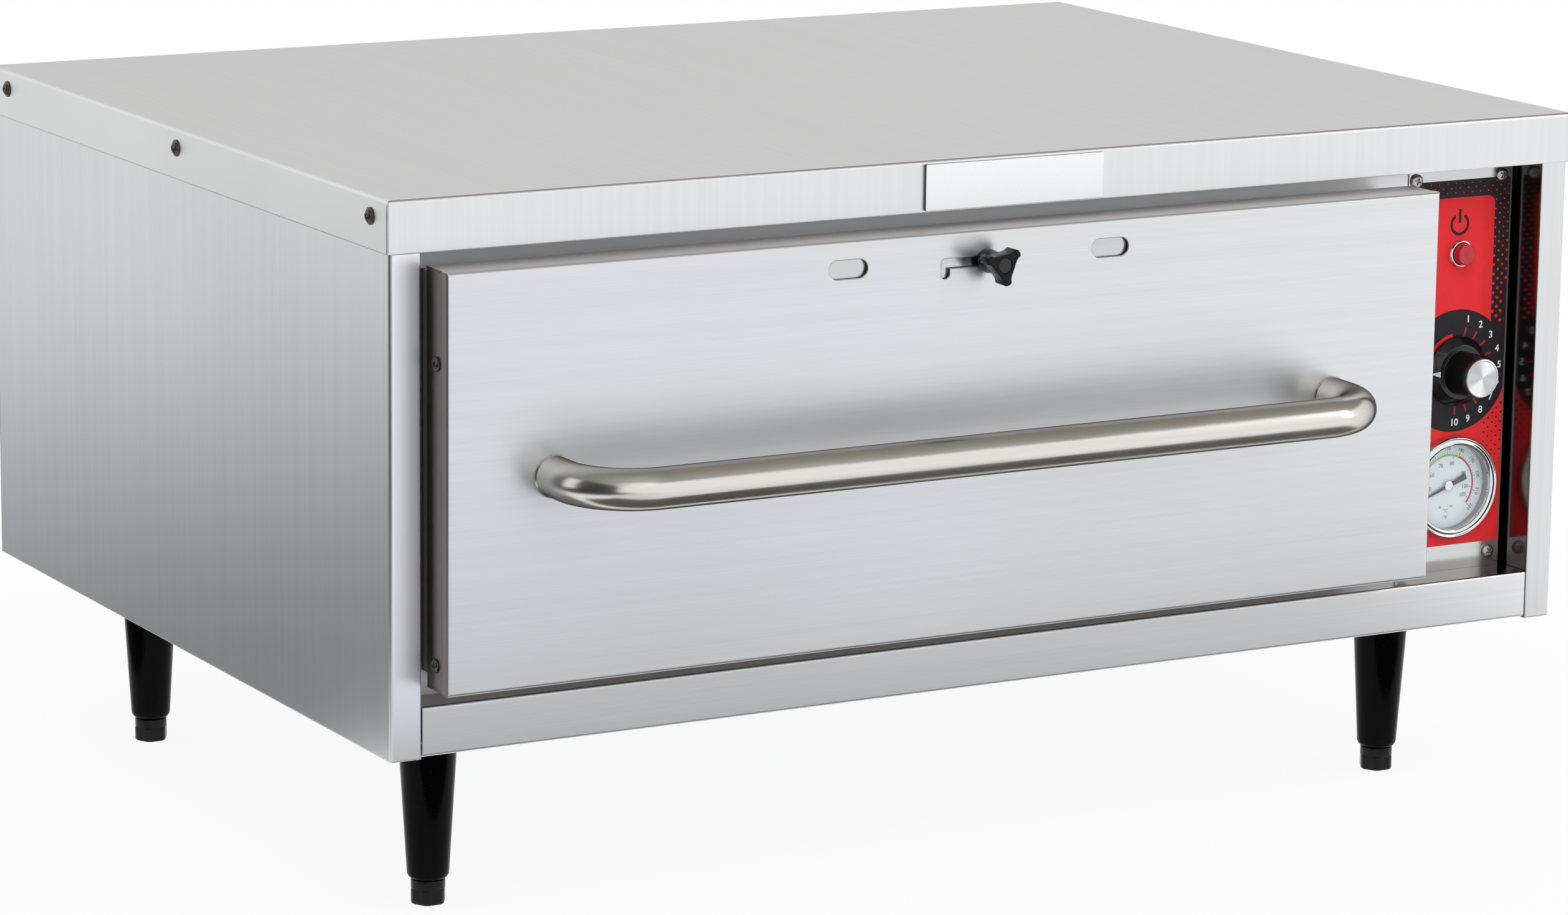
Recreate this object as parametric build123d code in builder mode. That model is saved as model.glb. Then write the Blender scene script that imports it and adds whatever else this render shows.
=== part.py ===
"""Countertop warming drawer: a stainless cabinet on four legs, with one insulated drawer.

Sizes are in millimetres. Spans and centres are given as they would be taken on a bench:
x from the left edge of the top cover, y back from the face of the front frame, and z up
from the underside of the cabinet. across(), back() and up() turn them into the object's
own frame: origin on the worktop under the middle of the object, +X right, +Y back, +Z up.
"""

from build123d import *
import math
import os

os.makedirs("parts", exist_ok=True)

# ---------------------------------------------------------------- driving dimensions
WIDTH = 749.3
COVER_DEPTH = 557.2
BODY_HEIGHT = 297.0
LEG_HEIGHT = 105.0
SHEET = 1.2
GAP = 0.3

COVER_FLANGE = 28.5
STILE_WIDTH = 19.0
RAIL_HEIGHT = 28.0
RECESS_DEPTH = 23.4
RETURN_DEPTH = 24.0

DRAWER_LEFT = 21.5
DRAWER_RIGHT = 640.5
DRAWER_LOW = 38.5
DRAWER_HIGH = 261.5
DRAWER_FACE = -26.0
DRAWER_REAR = 1.0
DRAWER_MIDDLE = (DRAWER_LEFT + DRAWER_RIGHT) / 2
SIDE_RETURN = 7.0
PLUG_REAR = 20.4

HANDLE_RADIUS = 11.1
HANDLE_REACH = 50.0
HANDLE_BEND = 36.0
HANDLE_Z = 150.3
HANDLE_LEFT = 83.0
HANDLE_RIGHT = 570.0

CAVITY_LEFT = 40.0
CAVITY_RIGHT = 622.0
CAVITY_LOW = 48.0
CAVITY_HIGH = 246.0
CAVITY_REAR = 519.0
LINER = 1.0

PANEL_LEFT = 653.9
PANEL_RIGHT = 727.0
CONTROL_X = 691.5
OVERLAY_FRONT = 23.0
OVERLAY_SPAN_X = (656.0, 725.5)
OVERLAY_SPAN_Z = (43.0, 258.2)
BUTTON_Z = 215.3
KNOB_Z = 146.4
GAUGE_Z = 77.7

LEG_FROM_SIDE = 62.0
LEG_FROM_END = 83.0
FOOT_TRAVEL = 25.0

GLAND_X = 696.0
GLAND_Z = 60.0
GLAND_REACH = 10.0

BACK_FACE = COVER_DEPTH - 2 * SHEET
FRONT_MOST = DRAWER_FACE - HANDLE_REACH - HANDLE_RADIUS
BACK_MOST = BACK_FACE + GLAND_REACH
FRAME_Y = -(FRONT_MOST + BACK_MOST) / 2


def across(x):
    return x - WIDTH / 2


def back(y):
    return FRAME_Y + y


def up(z):
    return LEG_HEIGHT + z


def at(x, y, z):
    return (across(x), back(y), up(z))


def block(x, y, z, mode=Mode.ADD):
    """A box between three spans."""
    middle = at(sum(x) / 2, sum(y) / 2, sum(z) / 2)
    with Locations(middle):
        Box(x[1] - x[0], y[1] - y[0], z[1] - z[0], mode=mode)


def rod_x(x, y, z, radius, mode=Mode.ADD):
    """A cylinder along x between a span, at one y and z."""
    with Locations(at(sum(x) / 2, y, z)):
        Cylinder(radius, x[1] - x[0], rotation=(0, 90, 0), mode=mode)


def rod_y(x, y, z, radius, mode=Mode.ADD):
    """A cylinder along y between a span, at one x and z."""
    with Locations(at(x, sum(y) / 2, z)):
        Cylinder(radius, y[1] - y[0], rotation=(90, 0, 0), mode=mode)


def rod_z(x, y, z, radius, mode=Mode.ADD):
    """A cylinder along z between a span, at one x and y."""
    with Locations(at(x, y, sum(z) / 2)):
        Cylinder(radius, z[1] - z[0], mode=mode)


def obround_y(x, y, z, length, height, mode=Mode.SUBTRACT):
    """A round-ended slot cut along y between a span, centred at x and z."""
    plane = Plane(origin=at(x, y[0], z), x_dir=(1, 0, 0), z_dir=(0, 1, 0))
    with BuildSketch(plane) as profile:
        SlotOverall(length, height)
    extrude(profile.sketch, amount=y[1] - y[0], mode=mode)


def turned_y(x, z, profile):
    """A solid turned about a y axis at x and z; profile is a list of (radius, y)."""
    points = [(across(x) + radius, back(y)) for radius, y in profile]
    with BuildSketch(Plane.XY.offset(up(z))) as half_section:
        with BuildLine():
            Polyline(*points, close=True)
        make_face()
    revolve(half_section.sketch, axis=Axis((across(x), 0, up(z)), (0, 1, 0)))


def tube(points, radius, bend):
    """A round bar or wire along straight runs joined by tangent arcs."""
    with BuildPart() as run:
        with BuildLine() as route:
            FilletPolyline(*[at(*point) for point in points], radius=bend)
        with BuildSketch(route.line ^ 0):
            Circle(radius)
        sweep()
    return run.part


def mirrored_x(span, middle):
    """The same span on the other side of a middle line."""
    return (2 * middle - span[1], 2 * middle - span[0])


def save(builder, name):
    builder.part.label = name
    export_step(builder.part, "parts/" + name + ".step")


# ---------------------------------------------------------------- fasteners
SCREW_SHANK = 2.0
SHANK_CLEARANCE = 0.05
PAN_HEAD_RADIUS = 4.0
PAN_HEAD_HEIGHT = 2.4
WASHER_HEAD_RADIUS = 4.8
WASHER_THICKNESS = 0.8
COLLAR_RADIUS = 3.7
COLLAR_HEIGHT = 2.6
DRIVE_WIDTH = 0.9
DRIVE_LENGTH = 4.2
DRIVE_DEPTH = 1.1

# Both screws stand head down at the origin, with the shank going up along +Z.
with BuildPart() as pan_screw:
    with BuildSketch(Plane.XZ):
        with BuildLine():
            head_face = Line((0, -PAN_HEAD_HEIGHT), (1.6, -PAN_HEAD_HEIGHT))
            dome = ThreePointArc(head_face @ 1, (3.3, -1.7), (PAN_HEAD_RADIUS, -0.5))
            head_edge = Line(dome @ 1, (PAN_HEAD_RADIUS, 0))
            Polyline(head_edge @ 1, (SCREW_SHANK, 0), (SCREW_SHANK, 8), (0, 8), head_face @ 0)
        make_face()
    revolve(axis=Axis.Z)
    with Locations((0, 0, -PAN_HEAD_HEIGHT + DRIVE_DEPTH / 2)):
        Box(DRIVE_LENGTH, DRIVE_WIDTH, DRIVE_DEPTH, mode=Mode.SUBTRACT)
        Box(DRIVE_WIDTH, DRIVE_LENGTH, DRIVE_DEPTH, mode=Mode.SUBTRACT)

with BuildPart() as washer_screw:
    with BuildSketch(Plane.XY.offset(-WASHER_THICKNESS)):
        Circle(WASHER_HEAD_RADIUS)
    extrude(amount=WASHER_THICKNESS)
    with BuildSketch(Plane.XY.offset(-COLLAR_HEIGHT)):
        RegularPolygon(COLLAR_RADIUS, 6)
    extrude(amount=COLLAR_HEIGHT)
    with BuildSketch(Plane.XY):
        Circle(SCREW_SHANK)
    extrude(amount=7)

FACING_FRONT = (-90, 0, 0)
FACING_LEFT = (0, 90, 0)
FACING_RIGHT = (0, -90, 0)

# ---------------------------------------------------------------- top cover
COVER_LOW = BODY_HEIGHT - COVER_FLANGE
SEAM = 0.6
COVER_SCREW_Z = 286.0
COVER_SCREW_YS = (20.0, 274.0, 529.0)
COVER_FRONT = -SHEET
COVER_REAR = COVER_DEPTH - SHEET

with BuildPart() as top_cover:
    block((0, WIDTH), (COVER_FRONT, COVER_REAR), (COVER_LOW, BODY_HEIGHT))
    fillet(top_cover.edges().group_by(Axis.Z)[-1], 2.0)
    block(
        (SHEET, WIDTH - SHEET),
        (0, COVER_REAR - SHEET),
        (COVER_LOW, BODY_HEIGHT - SHEET),
        mode=Mode.SUBTRACT,
    )
    for side in ((0, SHEET), (WIDTH - SHEET, WIDTH)):
        for seam_y in ((0, SEAM), (COVER_REAR - SHEET - SEAM, COVER_REAR - SHEET)):
            block(side, seam_y, (COVER_LOW, BODY_HEIGHT - 3), mode=Mode.SUBTRACT)
        for screw_y in COVER_SCREW_YS:
            rod_x(side, screw_y, COVER_SCREW_Z, SCREW_SHANK + SHANK_CLEARANCE, Mode.SUBTRACT)
save(top_cover, "top_cover")

with BuildPart() as cover_screws:
    for screw_y in COVER_SCREW_YS:
        with Locations(Location(at(0, screw_y, COVER_SCREW_Z), FACING_LEFT)):
            add(washer_screw.part)
        with Locations(Location(at(WIDTH, screw_y, COVER_SCREW_Z), FACING_RIGHT)):
            add(washer_screw.part)
save(cover_screws, "cover_screws")

# ---------------------------------------------------------------- side panels
PANEL_TOP = BODY_HEIGHT - SHEET
TURNED_EDGE = 14.0
PANEL_REAR = BACK_FACE - SHEET


def side_panel(mirror):
    """One folded side: outer wall, front stile, recess return and the turned edges."""

    def span(low, high):
        return mirrored_x((low, high), WIDTH / 2) if mirror else (low, high)

    with BuildPart() as panel:
        block(span(SHEET, 2 * SHEET), (0, PANEL_REAR), (0, PANEL_TOP))
        block(span(SHEET, STILE_WIDTH), (0, SHEET), (0, PANEL_TOP))
        block(span(STILE_WIDTH - SHEET, STILE_WIDTH), (0, RETURN_DEPTH), (0, PANEL_TOP))
        block(span(SHEET, TURNED_EDGE), (0, PANEL_REAR), (0, SHEET))
        block(span(SHEET, TURNED_EDGE), (PANEL_REAR - SHEET, PANEL_REAR), (0, PANEL_TOP))
        outer_x = across(sum(span(SHEET, SHEET)) / 2)
        inner_x = across(sum(span(STILE_WIDTH, STILE_WIDTH)) / 2)
        upright = panel.edges().filter_by(Axis.Z)
        front = upright.filter_by_position(Axis.Y, back(0) - 0.01, back(0) + 0.01)
        fillet(front.filter_by_position(Axis.X, outer_x - 0.01, outer_x + 0.01), 2.4)
        upright = panel.edges().filter_by(Axis.Z)
        front = upright.filter_by_position(Axis.Y, back(0) - 0.01, back(0) + 0.01)
        fillet(front.filter_by_position(Axis.X, inner_x - 0.01, inner_x + 0.01), 1.0)
        for screw_y in COVER_SCREW_YS:
            wall = span(SHEET, 2 * SHEET)
            rod_x(wall, screw_y, COVER_SCREW_Z, SCREW_SHANK + SHANK_CLEARANCE, Mode.SUBTRACT)
    return panel


left_side_panel = side_panel(mirror=False)
save(left_side_panel, "left_side_panel")
right_side_panel = side_panel(mirror=True)
save(right_side_panel, "right_side_panel")

# ---------------------------------------------------------------- bottom rail, floor and back
RAIL_LOW = 1.0
RAIL_GAP = 0.6
RAIL_X = (STILE_WIDTH + RAIL_GAP, WIDTH - STILE_WIDTH - RAIL_GAP)

with BuildPart() as bottom_rail:
    block(RAIL_X, (0, SHEET), (RAIL_LOW, RAIL_HEIGHT))
    block(RAIL_X, (0, RECESS_DEPTH - 0.1), (RAIL_HEIGHT - SHEET, RAIL_HEIGHT))
    block(RAIL_X, (0, 20), (RAIL_LOW, RAIL_LOW + SHEET))
    long_edges = bottom_rail.edges().filter_by(Axis.X)
    front = long_edges.filter_by_position(Axis.Y, back(0) - 0.01, back(0) + 0.01)
    fillet(front, 1.4)
save(bottom_rail, "bottom_rail")

LEG_CENTRES = [
    (LEG_FROM_SIDE, LEG_FROM_END),
    (WIDTH - LEG_FROM_SIDE, LEG_FROM_END),
    (LEG_FROM_SIDE, PANEL_REAR - LEG_FROM_END),
    (WIDTH - LEG_FROM_SIDE, PANEL_REAR - LEG_FROM_END),
]
FLOOR_TOP = 2 * SHEET
LEG_STUD_RADIUS = 5.0

with BuildPart() as bottom_panel:
    block((3, WIDTH - 3), (RETURN_DEPTH + 0.2, PANEL_REAR - SHEET), (SHEET, FLOOR_TOP))
    for leg_x, leg_y in LEG_CENTRES:
        rod_z(leg_x, leg_y, (SHEET, FLOOR_TOP), LEG_STUD_RADIUS + 0.4, Mode.SUBTRACT)
save(bottom_panel, "bottom_panel")

GLAND_BODY_RADIUS = 9.5
LOUVRE_COLUMNS = 6
LOUVRE_PITCH = 9.0
LOUVRE_LENGTH = 42.0

with BuildPart() as back_panel:
    block((SHEET, WIDTH - SHEET), (PANEL_REAR, BACK_FACE), (0, PANEL_TOP))
    rod_y(GLAND_X, (PANEL_REAR, BACK_FACE), GLAND_Z, GLAND_BODY_RADIUS, Mode.SUBTRACT)
    for column in range(LOUVRE_COLUMNS):
        slot_x = GLAND_X + (column - (LOUVRE_COLUMNS - 1) / 2) * LOUVRE_PITCH
        slot_plane = Plane(
            origin=at(slot_x, PANEL_REAR, 200), x_dir=(0, 0, 1), z_dir=(0, 1, 0)
        )
        with BuildSketch(slot_plane):
            SlotOverall(LOUVRE_LENGTH, 3.6)
        extrude(amount=SHEET, mode=Mode.SUBTRACT)
save(back_panel, "back_panel")

# ---------------------------------------------------------------- legs and feet
LEG_TOP_RADIUS = 16.8
LEG_LOW_RADIUS = 11.3
FOOT_EXPOSED = 14.0
FOOT_RADIUS = 9.5
FOOT_STUD_RADIUS = 4.0
FOOT_STUD_LENGTH = 2 * FOOT_TRAVEL
LEG_BORE_RADIUS = FOOT_STUD_RADIUS + GAP

with BuildPart() as one_leg:
    with BuildSketch(Plane.XZ):
        with BuildLine():
            Polyline(
                (0, LEG_HEIGHT),
                (LEG_TOP_RADIUS - 0.8, LEG_HEIGHT),
                (LEG_TOP_RADIUS, LEG_HEIGHT - 1.2),
                (LEG_LOW_RADIUS + 0.3, FOOT_EXPOSED + 3.2),
                (LEG_LOW_RADIUS - 0.4, FOOT_EXPOSED + 1.0),
                (LEG_LOW_RADIUS - 2.0, FOOT_EXPOSED + 0.2),
                (0, FOOT_EXPOSED + 0.2),
                close=True,
            )
        make_face()
    revolve(axis=Axis.Z)
    with BuildSketch(Plane.XY.offset(LEG_HEIGHT)):
        Circle(LEG_STUD_RADIUS)
    extrude(amount=13)
    with BuildSketch(Plane.XY.offset(FOOT_EXPOSED)):
        Circle(LEG_BORE_RADIUS)
    extrude(amount=FOOT_STUD_LENGTH + 6, mode=Mode.SUBTRACT)

with BuildPart() as legs:
    with Locations(*[(across(x), back(y), 0) for x, y in LEG_CENTRES]):
        add(one_leg.part)
save(legs, "legs")

HEX_HEIGHT = 8.5
with BuildPart() as one_foot:
    with BuildSketch(Plane.XY):
        RegularPolygon(FOOT_RADIUS - 0.4, 6, major_radius=False)
    extrude(amount=HEX_HEIGHT)
    with BuildSketch(Plane.XY):
        Circle(FOOT_RADIUS + 0.3)
    extrude(amount=HEX_HEIGHT, mode=Mode.INTERSECT)
    chamfer(one_foot.edges().group_by(Axis.Z)[0], 1.2)
    with BuildSketch(Plane.XY.offset(HEX_HEIGHT)):
        Circle(FOOT_RADIUS)
    extrude(amount=FOOT_EXPOSED - HEX_HEIGHT - 0.1)
    with BuildSketch(Plane.XY.offset(FOOT_EXPOSED - 0.1)):
        Circle(FOOT_STUD_RADIUS)
    extrude(amount=FOOT_STUD_LENGTH)

FOOT_NAMES = ("foot_front_left", "foot_front_right", "foot_rear_left", "foot_rear_right")
for foot_name, (leg_x, leg_y) in zip(FOOT_NAMES, LEG_CENTRES):
    with BuildPart() as foot:
        with Locations((across(leg_x), back(leg_y), 0)):
            add(one_foot.part)
    save(foot, foot_name)

LEG_PLATE = 60.0
with BuildPart() as leg_plates:
    for leg_x, leg_y in LEG_CENTRES:
        block(
            (leg_x - LEG_PLATE / 2, leg_x + LEG_PLATE / 2),
            (leg_y - LEG_PLATE / 2, leg_y + LEG_PLATE / 2),
            (FLOOR_TOP, FLOOR_TOP + 3),
        )
        rod_z(leg_x, leg_y, (FLOOR_TOP + 3, 13), 10)
        rod_z(leg_x, leg_y, (FLOOR_TOP, 13), LEG_STUD_RADIUS + 0.05, Mode.SUBTRACT)
save(leg_plates, "leg_plates")

# ---------------------------------------------------------------- heated cavity
FLANGE_X = (STILE_WIDTH + GAP, 653.3)
FLANGE_Z = (20.0, 294.0)
FLANGE_FRONT = RECESS_DEPTH
FLANGE_BACK = RECESS_DEPTH + SHEET
ELEMENT_Z = 57.0
ELEMENT_YS = (110.0, 440.0)
ELEMENT_RADIUS = 4.0
BULB_X = 611.0
THERMOSTAT_BULB = (285.0, 230.0)
GAUGE_BULB = (130.0, 222.0)
PASSAGES = [
    (ELEMENT_YS[0], ELEMENT_Z, ELEMENT_RADIUS + GAP),
    (ELEMENT_YS[1], ELEMENT_Z, ELEMENT_RADIUS + GAP),
    (*THERMOSTAT_BULB, 2.0),
    (*GAUGE_BULB, 2.0),
]

with BuildPart() as cavity_liner:
    block(
        (CAVITY_LEFT - LINER, CAVITY_RIGHT + LINER),
        (FLANGE_BACK, CAVITY_REAR + LINER),
        (CAVITY_LOW - LINER, CAVITY_HIGH + LINER),
    )
    block(FLANGE_X, (FLANGE_FRONT, FLANGE_BACK), FLANGE_Z)
    block(
        (CAVITY_LEFT, CAVITY_RIGHT),
        (FLANGE_FRONT, CAVITY_REAR),
        (CAVITY_LOW, CAVITY_HIGH),
        mode=Mode.SUBTRACT,
    )
    for hole_y, hole_z, radius in PASSAGES:
        wall = (CAVITY_RIGHT, CAVITY_RIGHT + LINER)
        rod_x(wall, hole_y, hole_z, radius, Mode.SUBTRACT)
save(cavity_liner, "cavity_liner")

INSULATION_X = (CAVITY_LEFT - 19, CAVITY_RIGHT + 20)
with BuildPart() as cavity_insulation:
    block(INSULATION_X, (FLANGE_BACK + GAP, CAVITY_REAR + 22), (29, CAVITY_HIGH + 20))
    block(
        (CAVITY_LEFT - LINER, CAVITY_RIGHT + LINER),
        (FLANGE_BACK, CAVITY_REAR + LINER),
        (CAVITY_LOW - LINER, CAVITY_HIGH + LINER),
        mode=Mode.SUBTRACT,
    )
    for hole_y, hole_z, radius in PASSAGES:
        wall = (CAVITY_RIGHT + LINER, INSULATION_X[1])
        rod_x(wall, hole_y, hole_z, radius, Mode.SUBTRACT)
save(cavity_insulation, "cavity_insulation")

DIVIDER_X = (648.0, 648.0 + SHEET)
with BuildPart() as control_bay_divider:
    block(DIVIDER_X, (FLANGE_BACK, PANEL_REAR - SHEET), (FLOOR_TOP, 294))
    block((DIVIDER_X[0] - 12, DIVIDER_X[1]), (40, 530), (FLOOR_TOP, FLOOR_TOP + SHEET))
    for hole_y, hole_z, radius in PASSAGES:
        rod_x(DIVIDER_X, hole_y, hole_z, radius, Mode.SUBTRACT)
save(control_bay_divider, "control_bay_divider")

# ---------------------------------------------------------------- heating
ELEMENT_LEFT = 84.0
ELEMENT_END = 668.0
PIN_END = 680.0
element_bar = tube(
    [
        (ELEMENT_END, ELEMENT_YS[0], ELEMENT_Z),
        (ELEMENT_LEFT, ELEMENT_YS[0], ELEMENT_Z),
        (ELEMENT_LEFT, ELEMENT_YS[1], ELEMENT_Z),
        (ELEMENT_END, ELEMENT_YS[1], ELEMENT_Z),
    ],
    ELEMENT_RADIUS,
    45,
)
with BuildPart() as heating_element:
    add(element_bar)
    for element_y in ELEMENT_YS:
        rod_x((ELEMENT_END, PIN_END), element_y, ELEMENT_Z, 2.0)
save(heating_element, "heating_element")

with BuildPart() as element_clips:
    for clip_x in (190, 470):
        for clip_y in ELEMENT_YS:
            block(
                (clip_x - 4, clip_x + 4),
                (clip_y - 7, clip_y + 7),
                (CAVITY_LOW, ELEMENT_Z + 6),
            )
            rod_x((clip_x - 4, clip_x + 4), clip_y, ELEMENT_Z, ELEMENT_RADIUS, Mode.SUBTRACT)
save(element_clips, "element_clips")

GUARD_X = (62.0, 600.0)
GUARD_Y = (64.0, 486.0)
GUARD_TOP = 69.0
GUARD_FOLD = 1.0
with BuildPart() as element_guard:
    block(GUARD_X, GUARD_Y, (CAVITY_LOW, GUARD_TOP))
    block(
        (GUARD_X[0] + GUARD_FOLD, GUARD_X[1] - GUARD_FOLD),
        GUARD_Y,
        (CAVITY_LOW, GUARD_TOP - GUARD_FOLD),
        mode=Mode.SUBTRACT,
    )
    guard_plane = Plane.XY.offset(up(GUARD_TOP))
    with BuildSketch(guard_plane):
        with Locations((across(sum(GUARD_X) / 2), back(sum(GUARD_Y) / 2))):
            with GridLocations(66, 44, 8, 9):
                SlotOverall(44, 10)
    extrude(amount=-GUARD_FOLD, mode=Mode.SUBTRACT)
    for element_y in ELEMENT_YS:
        block(
            (GUARD_X[1] - GUARD_FOLD, GUARD_X[1]),
            (element_y - 6, element_y + 6),
            (CAVITY_LOW, ELEMENT_Z + 6),
            mode=Mode.SUBTRACT,
        )
save(element_guard, "element_guard")

BULB_RADIUS = 3.2
CAPILLARY_RADIUS = 1.0
CAPILLARY_BEND = 8.0
THERMOSTAT_REAR = 51.0
thermostat_line = tube(
    [
        (697, THERMOSTAT_REAR, 150),
        (697, 100, 150),
        (697, 100, THERMOSTAT_BULB[1]),
        (697, THERMOSTAT_BULB[0], THERMOSTAT_BULB[1]),
        (BULB_X, THERMOSTAT_BULB[0], THERMOSTAT_BULB[1]),
        (BULB_X, THERMOSTAT_BULB[0] + 30, THERMOSTAT_BULB[1]),
    ],
    CAPILLARY_RADIUS,
    CAPILLARY_BEND,
)
with BuildPart() as thermostat_capillary:
    add(thermostat_line)
    rod_y(BULB_X, (THERMOSTAT_BULB[0] + 28, THERMOSTAT_BULB[0] + 118), THERMOSTAT_BULB[1], BULB_RADIUS)
save(thermostat_capillary, "thermostat_capillary")

GAUGE_CASE_REAR = 46.0
gauge_line = tube(
    [
        (680, GAUGE_CASE_REAR, 84),
        (680, GAUGE_BULB[0], 84),
        (680, GAUGE_BULB[0], GAUGE_BULB[1]),
        (BULB_X, GAUGE_BULB[0], GAUGE_BULB[1]),
        (BULB_X, GAUGE_BULB[0] + 30, GAUGE_BULB[1]),
    ],
    CAPILLARY_RADIUS,
    CAPILLARY_BEND,
)
with BuildPart() as gauge_capillary:
    add(gauge_line)
    rod_y(BULB_X, (GAUGE_BULB[0] + 28, GAUGE_BULB[0] + 98), GAUGE_BULB[1], BULB_RADIUS)
save(gauge_capillary, "gauge_capillary")

BULB_CLIPS = [
    (THERMOSTAT_BULB[0] + 45, THERMOSTAT_BULB[1]),
    (THERMOSTAT_BULB[0] + 100, THERMOSTAT_BULB[1]),
    (GAUGE_BULB[0] + 42, GAUGE_BULB[1]),
    (GAUGE_BULB[0] + 84, GAUGE_BULB[1]),
]
with BuildPart() as bulb_clips:
    for clip_y, clip_z in BULB_CLIPS:
        block((BULB_X - 5, CAVITY_RIGHT), (clip_y - 3, clip_y + 3), (clip_z - 5, clip_z + 5))
        rod_y(BULB_X, (clip_y - 3, clip_y + 3), clip_z, BULB_RADIUS, Mode.SUBTRACT)
save(bulb_clips, "bulb_clips")

# ---------------------------------------------------------------- control panel
PANEL_SCREWS = [(659.0, 259.5), (719.0, 259.5), (659.0, 36.6), (719.0, 36.6)]
BUTTON_BARREL = 7.0
BUSHING_RADIUS = 4.5
GAUGE_CASE_RADIUS = 26.0

with BuildPart() as control_panel:
    block((PANEL_LEFT, PANEL_RIGHT), (FLANGE_FRONT, FLANGE_BACK), FLANGE_Z)
    plate = (FLANGE_FRONT, FLANGE_BACK)
    for screw_x, screw_z in PANEL_SCREWS:
        rod_y(screw_x, plate, screw_z, SCREW_SHANK + SHANK_CLEARANCE, Mode.SUBTRACT)
    rod_y(CONTROL_X, plate, BUTTON_Z, BUTTON_BARREL + 0.1, Mode.SUBTRACT)
    rod_y(CONTROL_X, plate, KNOB_Z, BUSHING_RADIUS + 0.1, Mode.SUBTRACT)
    rod_y(CONTROL_X, plate, GAUGE_Z, GAUGE_CASE_RADIUS + 0.1, Mode.SUBTRACT)
save(control_panel, "control_panel")

with BuildPart() as panel_overlay:
    film = (OVERLAY_FRONT, FLANGE_FRONT)
    block(OVERLAY_SPAN_X, film, OVERLAY_SPAN_Z)
    fillet(panel_overlay.edges().filter_by(Axis.Y), 2.0)
    for screw_x, screw_z in PANEL_SCREWS:
        rod_y(screw_x, film, screw_z, SCREW_SHANK + SHANK_CLEARANCE, Mode.SUBTRACT)
    rod_y(CONTROL_X, film, BUTTON_Z, BUTTON_BARREL + 0.1, Mode.SUBTRACT)
    rod_y(CONTROL_X, film, KNOB_Z, BUSHING_RADIUS + 0.1, Mode.SUBTRACT)
    rod_y(CONTROL_X, film, GAUGE_Z, GAUGE_CASE_RADIUS + 0.1, Mode.SUBTRACT)
save(panel_overlay, "panel_overlay")

with BuildPart() as panel_screws:
    for screw_x, screw_z in PANEL_SCREWS:
        with Locations(Location(at(screw_x, OVERLAY_FRONT, screw_z), FACING_FRONT)):
            add(pan_screw.part)
save(panel_screws, "panel_screws")

# ---------------------------------------------------------------- lit push button
BUTTON_RADIUS = 6.15
BUTTON_BORE = 6.5
BEZEL_RADIUS = 8.0
BEZEL_FRONT = 20.6
BUTTON_FRONT = 15.6
BUTTON_TRAVEL = 3.0
BUTTON_REAR = 28.0
SWITCH_REAR = 52.0

with BuildPart() as button_bezel:
    turned_y(
        CONTROL_X,
        BUTTON_Z,
        [
            (BUTTON_BORE, OVERLAY_FRONT),
            (BUTTON_BORE, BEZEL_FRONT + 0.4),
            (BUTTON_BORE + 0.4, BEZEL_FRONT),
            (BEZEL_RADIUS - 0.7, BEZEL_FRONT),
            (BEZEL_RADIUS, BEZEL_FRONT + 0.8),
            (BEZEL_RADIUS, OVERLAY_FRONT),
        ],
    )
save(button_bezel, "button_bezel")

with BuildPart() as switch_body:
    rod_y(CONTROL_X, (OVERLAY_FRONT, 36), BUTTON_Z, BUTTON_BARREL)
    block((CONTROL_X - 9, CONTROL_X + 9), (34, SWITCH_REAR), (BUTTON_Z - 9, BUTTON_Z + 9))
    bore_rear = BUTTON_REAR + BUTTON_TRAVEL + 1
    rod_y(CONTROL_X, (OVERLAY_FRONT, bore_rear), BUTTON_Z, BUTTON_BORE, Mode.SUBTRACT)
save(switch_body, "switch_body")

with BuildPart() as power_button:
    turned_y(
        CONTROL_X,
        BUTTON_Z,
        [
            (0, BUTTON_REAR),
            (BUTTON_RADIUS, BUTTON_REAR),
            (BUTTON_RADIUS, BUTTON_FRONT + 0.7),
            (BUTTON_RADIUS - 0.7, BUTTON_FRONT),
            (0, BUTTON_FRONT),
        ],
    )
save(power_button, "power_button")

# ---------------------------------------------------------------- thermostat and its knob
SKIRT_RADIUS = 20.5
GRIP_RADIUS = 12.3
SKIRT_REAR = 22.4
SKIRT_FRONT = 16.8
GRIP_FRONT = -2.2
CAP_RADIUS = 11.4
CAP_FRONT = -3.4
SHAFT_RADIUS = 3.0
SHAFT_FRONT = 4.0
SHAFT_REAR = 38.0

with BuildPart() as thermostat_knob:
    turned_y(
        CONTROL_X,
        KNOB_Z,
        [
            (0, SKIRT_REAR),
            (SKIRT_RADIUS, SKIRT_REAR),
            (SKIRT_RADIUS, SKIRT_REAR - 1.6),
            (GRIP_RADIUS + 3.4, SKIRT_FRONT),
            (GRIP_RADIUS + 0.4, SKIRT_FRONT),
            (GRIP_RADIUS - 0.2, GRIP_FRONT + 1.0),
            (GRIP_RADIUS - 0.9, GRIP_FRONT),
            (0, GRIP_FRONT),
        ],
    )
    rod_y(CONTROL_X, (SHAFT_FRONT, SKIRT_REAR), KNOB_Z, SHAFT_RADIUS, Mode.SUBTRACT)
save(thermostat_knob, "thermostat_knob")

with BuildPart() as knob_cap:
    turned_y(
        CONTROL_X,
        KNOB_Z,
        [
            (0, GRIP_FRONT),
            (CAP_RADIUS, GRIP_FRONT),
            (CAP_RADIUS, CAP_FRONT + 0.4),
            (CAP_RADIUS - 0.4, CAP_FRONT),
            (CAP_RADIUS - 1.4, CAP_FRONT),
            (CAP_RADIUS - 1.8, CAP_FRONT + 0.3),
            (0, CAP_FRONT + 0.3),
        ],
    )
save(knob_cap, "knob_cap")

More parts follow.
